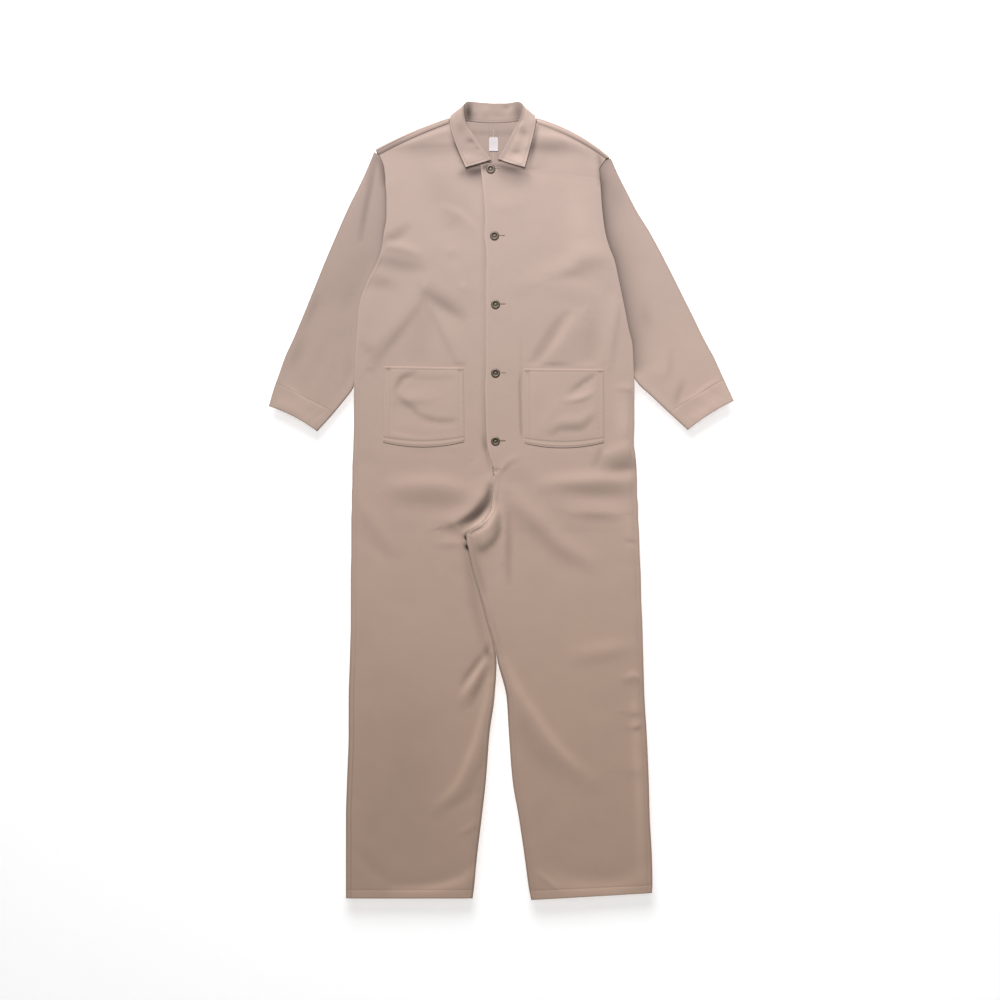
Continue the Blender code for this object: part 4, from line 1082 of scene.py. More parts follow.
def make_back(name, side, cloth):
    """Back from the neckline to the hem, rolled over the shoulder to the forward seam."""
    wall = cloth.wall / MM
    rungs = front_rungs(side)
    knots = rung_knots(rungs)
    centre = CENTRE_BACK + SEAM / 2 * side
    step = 5.0

    shares = np.concatenate([[0.006], np.linspace(0.02, 0.97, 30), [0.985, 0.995, 1.0]])
    fold = shoulder_line(SHOULDER[side]["fold"], shares)
    base = BACK_MID + NECK_LIFT * (1 - smoothstep(shares / 0.3))
    radius = (FRONT_MID - base) / 2
    lip_start = np.stack([fold[:, 0], fold[:, 1] - wall / 2 - radius, base], axis=1)
    neck = np.array(BACK_NECK[side], float)
    neck_at = spaced(lengths(neck)[-1], 2.5, last=(0.0,))
    neck_line = through(lengths(neck), neck, neck_at) - (0, SEAM)
    neck_line[0, 0] = centre
    top = np.concatenate([
        np.column_stack([neck_line, np.full(len(neck_line), BACK_MID + NECK_LIFT)]), lip_start])
    first = len(neck_line)
    outer_x = top[-1, 0]
    across = (top[:, 0] - centre) / (outer_x - centre)

    start = knots[NECK_RUNGS]
    fine_at = spaced(knots[-1] - start, step, first=(0.0,),
                     last=EDGE_STEPS + (9.0, 12.5, 15.0, 16.0, 17.0, 19.0)) + start
    row = np.interp(fine_at, knots, np.arange(len(knots)))
    fine = through(knots, rungs, fine_at)
    inset = np.interp(row, [SLEEVE_RUNGS - 1, SLEEVE_RUNGS], [TUCK + 0.2, 0.25])
    outer = fine[:, :2] - np.stack([inset * side, 0 * inset], axis=1)
    inner = fine[:, 2:].copy()
    above = row < ABOVE_RISE - 0.5
    inner[above, 0], inner[above, 1] = centre, outer[above, 1]
    body = inner[:, None] + (outer - inner)[:, None] * across[None, :, None]

    blend = np.concatenate([[0, 0.004, 0.009, 0.017], np.linspace(0.03, 1.0, 34)[:-1]])
    upper = top[None, :, :2] + (body[0] - top[:, :2])[None] * blend[:, None, None]
    lift = 1 - smoothstep((blend - 0.115) / 0.11)
    upper_z = BACK_MID + (top[:, 2] - BACK_MID)[None] * lift[:, None]
    plan = np.concatenate([upper, body])
    x, y = plan[..., 0], plan[..., 1]
    swell = np.maximum(0.0, 0.55 * drape(x, y, 83 if side > 0 else 131) + 0.1)
    z = np.concatenate([upper_z, np.full(body.shape[:2], BACK_MID)])
    from_centre = np.abs(x - centre)
    from_outer = np.abs(x - np.concatenate([upper[:, -1, 0], outer[:, 0]])[:, None])
    calm = smoothstep(from_centre / 20) * smoothstep(from_outer / 20)
    calm[:len(blend)] *= smoothstep((blend - 0.3) / 0.2)[:, None]
    z += cloth.fold_strength * swell * calm
    down = np.concatenate([np.full(len(blend), 1e3), knots[-1] - fine_at])[:, None] + 0 * x
    # painted shade in the stitched lines of the hem and the centre back seam, and on the back's
    # upper part seen inside the neck under the collar
    tone = -0.6 * groove(down - HEM, 0.9) - 0.5 * groove(from_centre - 7.5, 1.0)
    tone -= 1.3 * smoothstep((y - 600) / 30)

    lip, from_seam, lip_tone = shoulder_lip(name, side, wall, top[first:], fold, base,
                                            radius, shares)
    main_numbers = numbering(x)
    lip_numbers = x.size + np.arange((len(lip) - 1) * lip.shape[1])
    lip_numbers = np.vstack([main_numbers[:1, first:],
                             lip_numbers.reshape(len(lip) - 1, lip.shape[1])])[::-1]
    points = np.concatenate([np.dstack([plan, z]).reshape(-1, 3), lip[1:].reshape(-1, 3)])
    edge = np.minimum(from_outer, down)
    edge[0, :first] = 0
    neck_drop = 112.0     # from the neckline to the body's first row
    for i in range(1, 4):
        edge[i, :first] = np.minimum(edge[i, :first], blend[i] * neck_drop)
    lip_x = lip[1:, :, 0]
    from_ends = np.minimum(lip_x - lip_x[:, :1], lip_x[:, -1:] - lip_x)
    lip_edge = np.abs(np.minimum(from_seam[1:], from_ends))
    walls = wall * rim(np.concatenate([edge.ravel(), lip_edge.ravel()]), wall)
    tones = np.concatenate([tone.ravel(), lip_tone[1:].ravel()])
    faces = np.concatenate([quads(main_numbers), quads(lip_numbers)])
    main_across, main_along = grid_measures(np.dstack([plan, z]))
    lip_across, lip_along = grid_measures(lip[::-1])
    return shell(name, points, faces, walls,
                 np.concatenate([quads(main_across), quads(lip_across)]),
                 np.concatenate([quads(main_along), quads(lip_along)]), tones)


# ---- sleeves ----
def make_sleeve(name, side, cloth):
    """Flattened tube, with its turned hem at the cuff."""
    wall = cloth.wall / MM
    table = SLEEVE_LEFT if side > 0 else SLEEVE_RIGHT
    rungs = front_rungs(side)[1:SLEEVE_RUNGS]
    inner_path = np.concatenate([rungs[:, :2] - (TUCK * side, 0), np.array(table["under"], float)])
    outer_path = np.array(table["outer"], float)
    reach = lengths(inner_path)[-1]
    at = spaced(reach, 3.3, last=EDGE_STEPS + (9, 14, 20, 26, 32, 38, 43, 46, 47.2, 48, 48.8,
                                               50, 52.5))
    inner = through(lengths(inner_path), inner_path, at)
    outer = through(lengths(outer_path), outer_path, at / reach * lengths(outer_path)[-1])
    width = np.linalg.norm(outer - inner, axis=1)
    down = reach - at
    bend = (SLEEVE_EDGE_MID - BACK_MID) / 2
    lean = bend + wall / 2
    flat = width - 2 * lean
    loft = SLEEVE_LOFT * smoothstep((width - 30) / 60)

    upper = np.linspace(0, 1, 62)
    upper = upper - 0.05 * np.sin(2 * np.pi * upper) / np.pi
    lower = np.linspace(1, 0, 22)
    turns = np.radians([30, 60, 90, 120, 150])
    offs, heights = [], []
    for i, span in enumerate(flat):
        calm = smoothstep((span * (1 - upper)) / 18.0)
        rise = loft[i] * np.sin(np.pi * np.clip(upper * span / (span - min(16, 0.3 * span)), 0, 1))
        top_z = SLEEVE_EDGE_MID + np.maximum(rise, 0) * calm
        offs.append(np.concatenate([
            lean + upper * span,
            lean + span + bend * np.sin(turns),
            lean + lower * span,
            lean - bend * np.sin(turns)]))
        heights.append(np.concatenate([
            top_z,
            BACK_MID + bend + bend * np.cos(turns),
            np.full(len(lower), BACK_MID),
            BACK_MID + bend - bend * np.cos(turns)]))
    offs, heights = np.array(offs), np.array(heights)
    bow = table["cuff_bow"] * np.clip(1 - down / 60.0, 0, 1) ** 1.5
    share = offs / width[:, None]
    direction = (inner - outer) / width[:, None]
    upward = np.stack([-direction[:, 1], direction[:, 0]], axis=1)
    upward[upward[:, 1] < 0] *= -1
    plan = (outer[:, None] + direction[:, None] * offs[..., None]
            + upward[:, None] * (bow[:, None] * 4 * share * (1 - share))[..., None])
    x, y = plan[..., 0], plan[..., 1]
    on_top = np.zeros(offs.shape[1])
    on_top[:len(upper)] = smoothstep(np.minimum(upper, 1 - upper) * 9)
    from_inner = width[:, None] - offs
    tucked = smoothstep((from_inner - TUCK - 2.0) / 12.0)
    armhole = lengths(inner_path)[-5]     # the sleeve leaves the body here
    beside = at[:, None] < armhole
    low_tuck = np.where(beside, tucked, 1.0)
    creases = CREASES_SLEEVE_LEFT if side > 0 else CREASES_SLEEVE_RIGHT
    relief, shade = crease_relief(x, y, creases)
    relief = relief + drape(x, y, 211 if side > 0 else 307)
    fade = smoothstep(at / 24.0)[:, None]
    z = heights + cloth.fold_strength * relief * on_top * low_tuck * fade
    line = down[:, None] - CUFF_HEM + 0 * x
    hem = 0.35 * (1 - smoothstep((line + 1.5) / 2.0)) - 0.34 * groove(line)
    uneven = undulation(x, y, (24.0, 18.0), 91 if side > 0 else 57)
    ripple = np.sin(2 * np.pi * (offs - 0.55 * down[:, None]) / 17.0 + 1.3 * np.sin(offs / 19.0)
                    + 2.4 * uneven) * smoothstep(down / 12)[:, None]
    in_hem = smoothstep(-line / 6.0 + 0.3)
    hem += in_hem * (0.13 * ripple * (0.6 + 0.6 * uneven) + 0.25 * uneven)
    hem += 0.2 * pucker(offs, line, 10)
    z += np.where(on_top > 0, hem * on_top, 0)
    z[:, :len(upper)] = np.maximum(z[:, :len(upper)], SLEEVE_EDGE_MID - 0.5)
    # painted shade in the hem's stitched line and at the cuff's edge, and a painted highlight over
    # the hem that varies at random
    tone = (-0.75 * groove(line, 0.8) - 1.7 * np.exp(-(down[:, None] / 2.0) ** 2)
            + 0.35 * in_hem * (0.4 + uneven))
    # painted shade in the creases and along the outer fold
    tone = tone - shade * on_top - 0.5 * np.exp(-(offs / 2.4) ** 2)
    # painted shade along the under edge past the armhole
    tone -= np.where(beside, 0.0, 2.4) * np.exp(-(from_inner / 2.6) ** 2)
    # the body's shadow, painted on the sleeve: its reach, its strength and how much deeper it is
    # close by
    if side > 0:
        shadow, strength = 17.0, 3.0 - 1.2 * smoothstep((y - 590) / 40)
        deep = 0.6 * smoothstep((y - 470) / 60)
    else:
        shadow, strength, deep = 5.5, np.interp(y, *ARMHOLE_SHADE), 0.0
    # painted light on the sleeve by height, and a little darker towards the top
    tone += np.interp(y, *SLEEVE_TONE[side])
    tone -= 0.2 * smoothstep((y - 280) / 120)
    past = np.maximum(from_inner - TUCK, 0)
    near_body = 1 - smoothstep((at[:, None] - armhole) / 24.0)
    tone -= near_body * (strength * np.exp(-past / shadow) + deep * np.exp(-past / 4.0))

    points = np.dstack([plan, z])
    sew(name, points[nearest(down, CUFF_HEM), 1:len(upper) - 1], wall)
    numbers = numbering(points)
    ring = np.hstack([numbers, numbers[:, :1]])
    closed = np.concatenate([points, points[:, :1]], axis=1)
    across = np.concatenate([[0], np.cumsum(np.linalg.norm(
        np.diff(closed[len(at) // 2], axis=0), axis=1))])[None] * np.ones((len(at), 1))
    along = at[:, None] + 0 * across
    walls = wall * rim(np.minimum(at, down), wall)[:, None] * np.ones(numbers.shape)
    return shell(name, points.reshape(-1, 3), quads(ring), walls.ravel(),
                 quads(across), quads(along), tone.ravel())


# ---- pockets ----
def make_pocket(name, side, cloth):
    """Patch pocket: top corners, bottom corners and a bottom edge that bows down."""
    wall = cloth.wall / MM
    (ax, ay), (bx, by), (cx, cy), (dx, dy) = POCKET[side]
    width, height = bx - ax, ay - dy
    steps = EDGE_STEPS[:4] + (2.4, 3.2, 4.2, 5.0, 5.8, 7.0, 8.4, 9.1, 9.8, 10.5, 11.6, 13.4)
    u = spaced(width, 2.2, steps, steps) / width
    v = spaced(height, 2.2, steps, steps) / height
    u, v = np.meshgrid(u, v)
    x = (ax + (bx - ax) * u) * (1 - v) + (dx + (cx - dx) * u) * v
    y = (ay + (by - ay) * u) * (1 - v) + (dy + (cy - dy) * u) * v
    y = y - POCKET_SAG * 4 * u * (1 - u) * v ** 3
    from_side, from_top, from_bottom = np.minimum(u, 1 - u) * width, v * height, (1 - v) * height
    creases = CREASES_POCKET_LEFT if side > 0 else CREASES_POCKET_RIGHT
    calm = smoothstep((np.minimum(from_side, from_bottom) - 6) / 14) * smoothstep(from_top / 9)
    z = FRONT_MID + CLOTH_STEP + 0.1
    relief, shade = crease_relief(x, y, creases)
    z = z + cloth.fold_strength * calm * (relief + 0.35
                                          + 0.7 * drape(x, y, 401 if side > 0 else 457))
    z += 0.5 * np.sin(np.pi * u) * np.exp(-from_top / 26.0)
    turned = np.minimum(from_side, from_bottom) - POCKET_SEAM
    z += 0.2 * (1 - smoothstep((turned + 1.0) / 1.6))
    # painted shade in the creases, and painted highlights along the mouth, along the sides, more
    # on the side towards the wearer's right, and between the two rows at the bottom
    tone = -calm * shade + 0.4 * groove(from_top - 1.2, 1.6)
    tone += 0.8 * np.exp(-(u * width / 1.4) ** 2) + 0.3 * np.exp(-((1 - u) * width / 1.4) ** 2)
    tone += 0.5 * groove(from_bottom - 6.0, 1.8)
    # stitched lines: distance from the edge, place of the line, depth of its groove and strength
    # of the painted shade in it
    for off, line, depth, dark in (
            (from_side, POCKET_SEAM, 0.12, 0.25), (from_side, POCKET_EDGE_STITCH, 0.12, 0.3),
            (from_bottom, POCKET_SEAM, 0.3, 1.5), (from_bottom, POCKET_EDGE_STITCH, 0.3, 1.3),
            (from_top, POCKET_MOUTH_STITCH, 0.3, 1.2)):
        z -= depth * groove(off - line)
        tone -= dark * groove(off - line, 1.1)
    z += 0.12 * pucker(x + y, turned)
    # painted shadow round the bar tacks
    for tx, ty, _, _ in BAR_TACKS:
        tone -= 1.5 * np.exp(-((x - tx) ** 2 + (y - ty) ** 2) / 10.0)
    edge = np.minimum.reduce([from_side, from_top, from_bottom])
    points = np.dstack([x, y, z])
    for off in (POCKET_SEAM, POCKET_EDGE_STITCH):
        i = nearest(from_side[0], off)
        j = nearest(from_bottom[:, 0], off)
        path = np.concatenate([points[3:j, i], points[j, i:-i - 1], points[3:j + 1, -i - 1][::-1]])
        sew(name, path, wall)
    sew(name, points[nearest(from_top[:, 0], POCKET_MOUTH_STITCH), 8:-8], wall)
    return grid_shell(name, points, wall * rim(edge, wall), tone)


# ---- collar and label ----
def collar_profiles():
    """Six points of each collar section, from the neck seam over the roll to the edge."""
    profiles = []
    for i, section in enumerate(COLLAR):
        neck, roll, middle, free = (np.array(point, float) for point in section)
        if i in FLAT_COLLAR_SECTIONS:
            outward = -1.5 if roll[0] < CENTRE_BACK else 1.5
            stand = np.array((neck[0] * 0.1 + roll[0] * 0.9, roll[1] - 3.0, roll[2] - 0.4))
            fall = np.array((middle[0] * 0.2 + roll[0] * 0.8 + outward, roll[1] - 3.0,
                             roll[2] - 2.6))
        else:
            stand = roll + (neck - roll) * 0.22 - (0, 0, ROLL_R)
            fall = roll + (middle - roll) * 0.2 + (0, 0, ROLL_R * 0.4)
        profiles.append((neck, stand, roll, fall, middle, free))
    return np.array(profiles)


def make_collar(name, cloth):
    """Collar drawn through its sections, with its dents and topstitching."""
    wall = COLLAR_WALL
    profiles = collar_profiles()
    knots = (lengths(profiles[:, 2]) + lengths(profiles[:, 5])) / 2
    at = spaced(knots[-1], 1.7, COLLAR_STEPS, COLLAR_STEPS)
    rows = through(knots, profiles.reshape(len(profiles), -1), at).reshape(len(at), 6, 3)
    spans = np.linalg.norm(np.diff(rows, axis=1), axis=2).mean(axis=0)
    reach = np.concatenate([[0], np.cumsum(spans)])
    across = spaced(reach[-1], 1.8, EDGE_STEPS[:5], COLLAR_STEPS)
    around = np.linspace(reach[1] - 1.5, reach[3] + 1.5, 12)
    across = np.unique(np.concatenate([across[(across < around[0] - 0.8)
                                              | (across > around[-1] + 0.8)], around]))
    points = np.array([through(reach, row, across) for row in rows])
    from_ends = np.minimum(at, knots[-1] - at)[:, None] + 0 * across
    from_free = reach[-1] - across[None] + 0 * at[:, None]
    on_fall = smoothstep((across[None] - reach[3]) / 4.0) + 0 * at[:, None]
    normals = vertex_normals(points.reshape(-1, 3), quads(numbering(points)))
    normals = normals.reshape(points.shape)
    x, y = points[..., 0], points[..., 1]
    relief = np.zeros_like(x)
    for bx, by, rx, ry, height, part in COLLAR_DENTS:
        held = on_fall if part == "fall" else 1 - on_fall
        relief += 1.8 * height * held * np.exp(-((x - bx) / rx) ** 2 - ((y - by) / ry) ** 2)
    relief *= smoothstep(from_free / 6) * smoothstep(from_ends / 5)
    line = np.minimum(from_free, np.where(on_fall > 0.5, from_ends, 99.0)) - COLLAR_STITCH
    relief -= 0.24 * groove(line) * on_fall
    relief += 0.1 * pucker(at[:, None] + across[None], line, 5) * on_fall
    outward = np.sign(normals[len(at) // 6, -8, 2]) or 1.0
    points = points + normals * (cloth.fold_strength * outward * relief)[..., None]
    edge = np.minimum(np.minimum(from_free, from_ends), across[None] + 0 * at[:, None])
    # painted highlights along the free edge and the fall's ends
    tone = 0.4 * groove(from_free - 0.9, 1.2) + 0.4 * groove(from_ends - 0.9, 1.2) * on_fall
    # painted shade on the stand, and on the fall, more on the wearer's right
    tone -= (1 - on_fall) * 0.8 + on_fall * np.where(x < CENTRE_BACK, 0.9, 0.2)
    # painted highlight towards the fall's tips
    tone += 1.1 * on_fall * smoothstep((662 - y) / 30)
    # painted shade in the dents
    tone -= 0.45 * np.clip(-relief, 0, 3)
    # painted shadow in the stand's inner corners
    for corner, dark in ((-62, 3.6), (32, 2.0)):
        tone -= (1 - on_fall) * dark * np.exp(-((x - corner) / 9) ** 2 - ((y - 728) / 20) ** 2)
    # painted highlight along the roll, and painted shade in the stitched line
    tone += (0.45 * np.exp(-((across[None] - reach[2]) / 1.3) ** 2)
             - 0.7 * groove(line, 0.8) * on_fall)
    # painted shade just above the neck seam
    tone -= 0.5 * groove(across[None] - 3.0, 1.0)
    i = nearest(at, COLLAR_STITCH)
    j = nearest(from_free[0], COLLAR_STITCH)
    k = int(np.searchsorted(across, reach[3]))
    path = np.concatenate([points[i, k:j], points[i:-i - 1, j], points[-i - 1, k:j + 1][::-1]])
    path_normals = np.concatenate([normals[i, k:j], normals[i:-i - 1, j],
                                   normals[-i - 1, k:j + 1][::-1]]) * outward
    sew(name, path, wall, path_normals)
    return grid_shell(name, points, wall * rim(edge, wall), tone)


def make_label(name):
    """Bare woven label with clipped upper corners and a slight curl at its foot."""
    wall, steps = 0.5, (0, 0.25, 0.6)
    (cx, cy), (width, height) = LABEL_CENTRE, LABEL_SIZE
    u = spaced(width, 1.0, steps, steps) / width
    v = spaced(height, 1.0, steps, steps) / height
    u, v = np.meshgrid(u, v)
    shrink = 1 - 0.24 * (1 - smoothstep(v * height / 3.4))
    x = cx + (u - 0.5) * width * shrink
    y = cy + (0.5 - v) * height
    z = 2.05 + 0.5 * smoothstep((v - 0.8) / 0.2) * (0.6 + 0.4 * np.cos(2 * np.pi * u))
    z += 0.2 * np.sin(2.2 * np.pi * v + 0.7) * np.sin(np.pi * u)
    edge = np.minimum(np.minimum(u, 1 - u) * width, np.minimum(v, 1 - v) * height)
    return grid_shell(name, np.dstack([x, y, z]), wall * rim(edge, wall), np.zeros_like(x))


# ---- made by hand: buttons and thread loops ----
def edit_faces(obj, chosen):
    """Enters edit mode with only the faces selected that chosen says, by centre and normal."""
    bpy.ops.object.mode_set(mode="OBJECT")
    for face in obj.data.polygons:
        face.select = chosen(face.center, face.normal)
    for edge in obj.data.edges:
        edge.select = False
    for vertex in obj.data.vertices:
        vertex.select = False
    for face in obj.data.polygons:
        if face.select:
            for i in face.vertices:
                obj.data.vertices[i].select = True
    bpy.ops.object.mode_set(mode="EDIT")
    bpy.ops.mesh.select_mode(type="FACE")


def bake_place(obj):
    """Puts the object's place into its mesh and leaves the object at the origin."""
    bpy.ops.object.mode_set(mode="OBJECT")
    bpy.ops.object.transform_apply(location=True, rotation=True, scale=True)
    bpy.ops.object.shade_smooth_by_angle(angle=math.radians(38))
    return obj


def copied(obj, name, place, first_place):
    """Copy of a piece with its own mesh, moved from the first one's place to its own."""
    made = obj.copy()
    made.data = obj.data.copy()
    made.name = made.data.name = name
    run = (place[0] - first_place[0], place[1] - first_place[1], 0)
    made.data.transform(Matrix.Translation(Vector(run) * MM))
    bpy.context.collection.objects.link(made)
    return made


def make_button(name, x, y, settings):
    """Donut tack button: a rolled rim round a sunk eye with the tack's end in it."""
    bpy.ops.object.select_all(action="DESELECT")
    radius = settings.diameter / 2
    middle = BUTTON_SEAT + BUTTON_BASE / 2
    bpy.ops.mesh.primitive_cylinder_add(vertices=44, radius=radius, depth=BUTTON_BASE * MM,
                                        location=(x * MM, y * MM, middle * MM))
    obj = bpy.context.object
    obj.name = obj.data.name = name
    edit_faces(obj, lambda centre, normal: normal.z > 0.9)
    for inset, lift in BUTTON_STEPS:
        if inset:
            bpy.ops.mesh.inset(thickness=inset * MM)
            bpy.ops.transform.translate(value=(0, 0, lift * MM))
        else:
            bpy.ops.mesh.extrude_region_move(
                TRANSFORM_OT_translate={"value": (0, 0, lift * MM)})
    edit_faces(obj, lambda centre, normal: normal.z < -0.9)
    bpy.ops.mesh.inset(thickness=radius - SHANK_R * MM)
    bpy.ops.mesh.extrude_region_move(
        TRANSFORM_OT_translate={"value": (0, 0, -SHANK_DEPTH * MM)})
    return bake_place(obj)


def make_loop(name, x, y):
    """Loop of thread that holds the label's shoulder."""
    bpy.ops.object.select_all(action="DESELECT")
    place = (x * MM, y * MM, 2.2 * MM)
    bpy.ops.mesh.primitive_torus_add(location=place, major_segments=28, minor_segments=10,
                                     major_radius=2.3 * MM, minor_radius=0.42 * MM)
    obj = bpy.context.object
    obj.name = obj.data.name = name
    edit_faces(obj, lambda centre, normal: True)
    bpy.ops.transform.resize(value=(0.8, 1.35, 0.8), center_override=place)
    return bake_place(obj)


# ---- stitching ----
def sew(name, path, wall, normals=None):
    """Notes a row of stitching on a piece, along a path on the middle of its wall."""
    path = np.asarray(path, float)
    if normals is None:
        normals = np.zeros_like(path)
        normals[:, 2] = 1.0
    SEWN.setdefault(name, []).append(np.hstack([path + normals * wall / 2, normals]))


def stitch_parts(starts, ends, normals, radius, sink=0.16):
    """Points and faces of short threads, each thick in the middle and sunk at its ends."""
    run = ends - starts
    run /= np.maximum(np.linalg.norm(run, axis=1), 1e-9)[:, None]
    side = np.cross(normals, run)
    side /= np.maximum(np.linalg.norm(side, axis=1), 1e-9)[:, None]
    rings = []
    for share, thick, lift in ((0.0, 0.4, -sink), (0.5, 1.0, 0.6 * radius), (1.0, 0.4, -sink)):
        middle = starts + (ends - starts) * share + normals * lift
        for turn in (0, 90, 180, 270):
            c, s = math.cos(math.radians(turn)), math.sin(math.radians(turn))
            rings.append(middle + radius * thick * (side * c + normals * s))
    points = np.stack(rings, axis=1)
    faces = []
    for ring in (0, 4):
        for k in range(4):
            j = (k + 1) % 4
            faces.append((ring + k, ring + 4 + k, ring + 4 + j, ring + j))
    faces += [(0, 1, 2, 3), (11, 10, 9, 8)]
    count = len(points)
    numbered = (np.arange(count)[:, None, None] * 12 + np.array(faces)[None]).reshape(-1, 4)
    return points.reshape(-1, 3), numbered


def row_of_stitches(line, pitch):
    """Starts, ends and normals of the stitches along one noted row."""
    walked = lengths(line[:, :3])
    count = max(1, round(walked[-1] / pitch))
    at = np.linspace(0, walked[-1], count + 1)
    spots = np.stack([np.interp(at, walked, column) for column in line.T], axis=1)
    starts, ends = spots[:-1, :3], spots[1:, :3]
    gap = (ends - starts) * 0.13
    return starts + gap, ends - gap, (spots[:-1, 3:] + spots[1:, 3:]) / 2


def stitch_mesh(name, groups, radius):
    """One mesh of all the stitches in the groups."""
    points, faces, base = [], [], 0
    for starts, ends, normals in groups:
        made, numbered = stitch_parts(starts, ends, normals, radius)
        points.append(made)
        faces.append(numbered + base)
        base += len(made)
    mesh = bpy.data.meshes.new(name)
    mesh.from_pydata((np.concatenate(points) * MM).tolist(), [], np.concatenate(faces).tolist())
    mesh.validate()
    mesh.shade_smooth()
    obj = bpy.data.objects.new(name, mesh)
    bpy.context.collection.objects.link(obj)
    return obj


def surface_of(obj):
    """Search tree of a piece's faces, to lay stitches on it."""
    return BVHTree.FromPolygons([tuple(v.co) for v in obj.data.vertices],
                                [tuple(p.vertices) for p in obj.data.polygons])


def lay_on(tree, spots):
    """Heights and normals of the cloth right under points given in x and y."""
    laid = []
    for x, y in spots:
        place, normal, _, _ = tree.ray_cast(Vector((x * MM, y * MM, 0.05)), Vector((0, 0, -1)))
        if place is None:
            raise RuntimeError(f"no cloth under the stitch at {x:.0f}, {y:.0f}")
        laid.append((x, y, place.z / MM, *normal))
    return np.array(laid)


def bar_tack(tree, x, y, length, width, turn):
    """Close zigzag of thread that holds a corner."""
    along = np.array((math.cos(turn), math.sin(turn)))
    over = np.array((-along[1], along[0]))
    at = np.arange(-length / 2, length / 2, 0.45)
    a = (x, y) + along * at[:, None] + over * width / 2
    b = (x, y) + along * (at[:, None] + 0.22) - over * width / 2
    low, high = lay_on(tree, a), lay_on(tree, b)
    return low[:, :3], high[:, :3], (low[:, 3:] + high[:, 3:]) / 2


def worked_buttonhole(tree, x, y, eye, reach):
    """Close stitches all round a keyhole."""
    near, far = [], []
    for turn in np.linspace(0.35, 2 * math.pi - 0.35, 26):
        ray = np.array((math.cos(turn), math.sin(turn)))
        near.append((x, y) + ray * (eye + 0.25))
        far.append((x, y) + ray * (eye + 1.9))
    for edge in (0.75, -0.75):
        for px in np.arange(x + eye + 0.6, x + reach + 1.0, 0.62):
            near.append(np.array((px, y + edge)))
            far.append(np.array((px, y + edge * 3.0)))
    low, high = lay_on(tree, near), lay_on(tree, far)
    normals = np.zeros((len(near), 3))
    normals[:, 2] = 1.0
    return low[:, :3], high[:, :3], normals


# ---- settings ----
class SuitCloth(bpy.types.PropertyGroup):
    """The twill and the folds in it"""
    wall: bpy.props.FloatProperty(
        name="Cloth thickness", description="Wall of each twill panel",
        default=1.2 * MM, min=0.6 * MM, max=2 * MM, unit="LENGTH", subtype="DISTANCE")
    fold_strength: bpy.props.FloatProperty(
        name="Fold strength", description="Height of the creases, where 1 is as laid out",
        default=1.0, min=0.0, max=1.3, subtype="FACTOR")
    # painted light: this chest colour and the hem colour below are blended from top to bottom to
    # paint how the light changes over the suit
    chest_colour: bpy.props.FloatVectorProperty(
        name="Faded twill", description="Colour of the cotton twill at the chest",
        default=linear("#C1AAA0"), size=3, min=0, max=1, subtype="COLOR")
    # hem colour: the lower end of the painted blend of light from the hems to the chest
    full: bpy.props.FloatVectorProperty(
        name="Full twill", description="Colour of the cotton twill at the hems",
        default=linear("#C8AB98"), size=3, min=0, max=1, subtype="COLOR")
    rib: bpy.props.FloatProperty(
        name="Rib spacing", description="Distance between the twill's diagonal ribs",
        default=0.9 * MM, min=0.3 * MM, max=3 * MM, unit="LENGTH", subtype="DISTANCE")


class SuitStitching(bpy.types.PropertyGroup):
    """The stitching's size and colour"""
    pitch: bpy.props.FloatProperty(
        name="Stitch length", description="Length of one stitch with its gap",
        default=3.0 * MM, min=1.5 * MM, max=6 * MM, unit="LENGTH", subtype="DISTANCE")
    radius: bpy.props.FloatProperty(
        name="Thread radius", description="Half the thread's thickness",
        default=0.27 * MM, min=0.1 * MM, max=0.6 * MM, unit="LENGTH", subtype="DISTANCE")
    colour: bpy.props.FloatVectorProperty(
        name="Thread colour", description="Colour of the sewing thread",
        default=linear("#C4AD9B"), size=3, min=0, max=1, subtype="COLOR")


class SuitButtons(bpy.types.PropertyGroup):
    """The metal buttons"""
    diameter: bpy.props.FloatProperty(
        name="Button diameter", description="Outside of the metal tack buttons",
        default=17 * MM, min=12 * MM, max=22 * MM, unit="LENGTH", subtype="DISTANCE")
    colour: bpy.props.FloatVectorProperty(
        name="Antiqued colour", description="Colour of the blackened brass",
        default=linear("#4B443D"), size=3, min=0, max=1, subtype="COLOR")
    # rubbed colour of the brass: real wear on its high spots, with no painted light
    worn: bpy.props.FloatVectorProperty(
        name="Rubbed colour", description="Colour of the brass where it is rubbed bright",
        default=linear("#8B8072"), size=3, min=0, max=1, subtype="COLOR")


class SuitStage(bpy.types.PropertyGroup):
    """The light and the floor"""
    key: bpy.props.FloatProperty(
        name="Key light", description="Power of the large soft light, in watts",
        default=95.0, min=0.0, max=1000.0, subtype="POWER")
    fill: bpy.props.FloatProperty(
        name="Fill light", description="Strength of the light from all round",
        default=0.2, min=0.0, max=2.0, subtype="FACTOR")
    floor: bpy.props.FloatVectorProperty(
        name="Floor colour", description="Colour of the pale floor",
        default=linear("#F4F4F4"), size=3, min=0, max=1, subtype="COLOR")


# ---- operators ----
def add_sheet(obj, material, slot, node_name, **cut):
    """Gives a cloth piece its material and its place; its cut is not used."""
    obj.data.materials.append(material)
    finish_piece(obj, slot, node_name)


def add_panel(obj, cloth, **cut):
    """Finishes a panel of twill, which stands for the solid that it is named after."""
    twill = shared(twill_material, "brushed_cotton_twill", cloth.chest_colour, cloth.full,
                   cloth.rib / MM, 0.12)
    add_sheet(obj, twill, "twill", obj.name.replace("_cloth", ""), **cut)


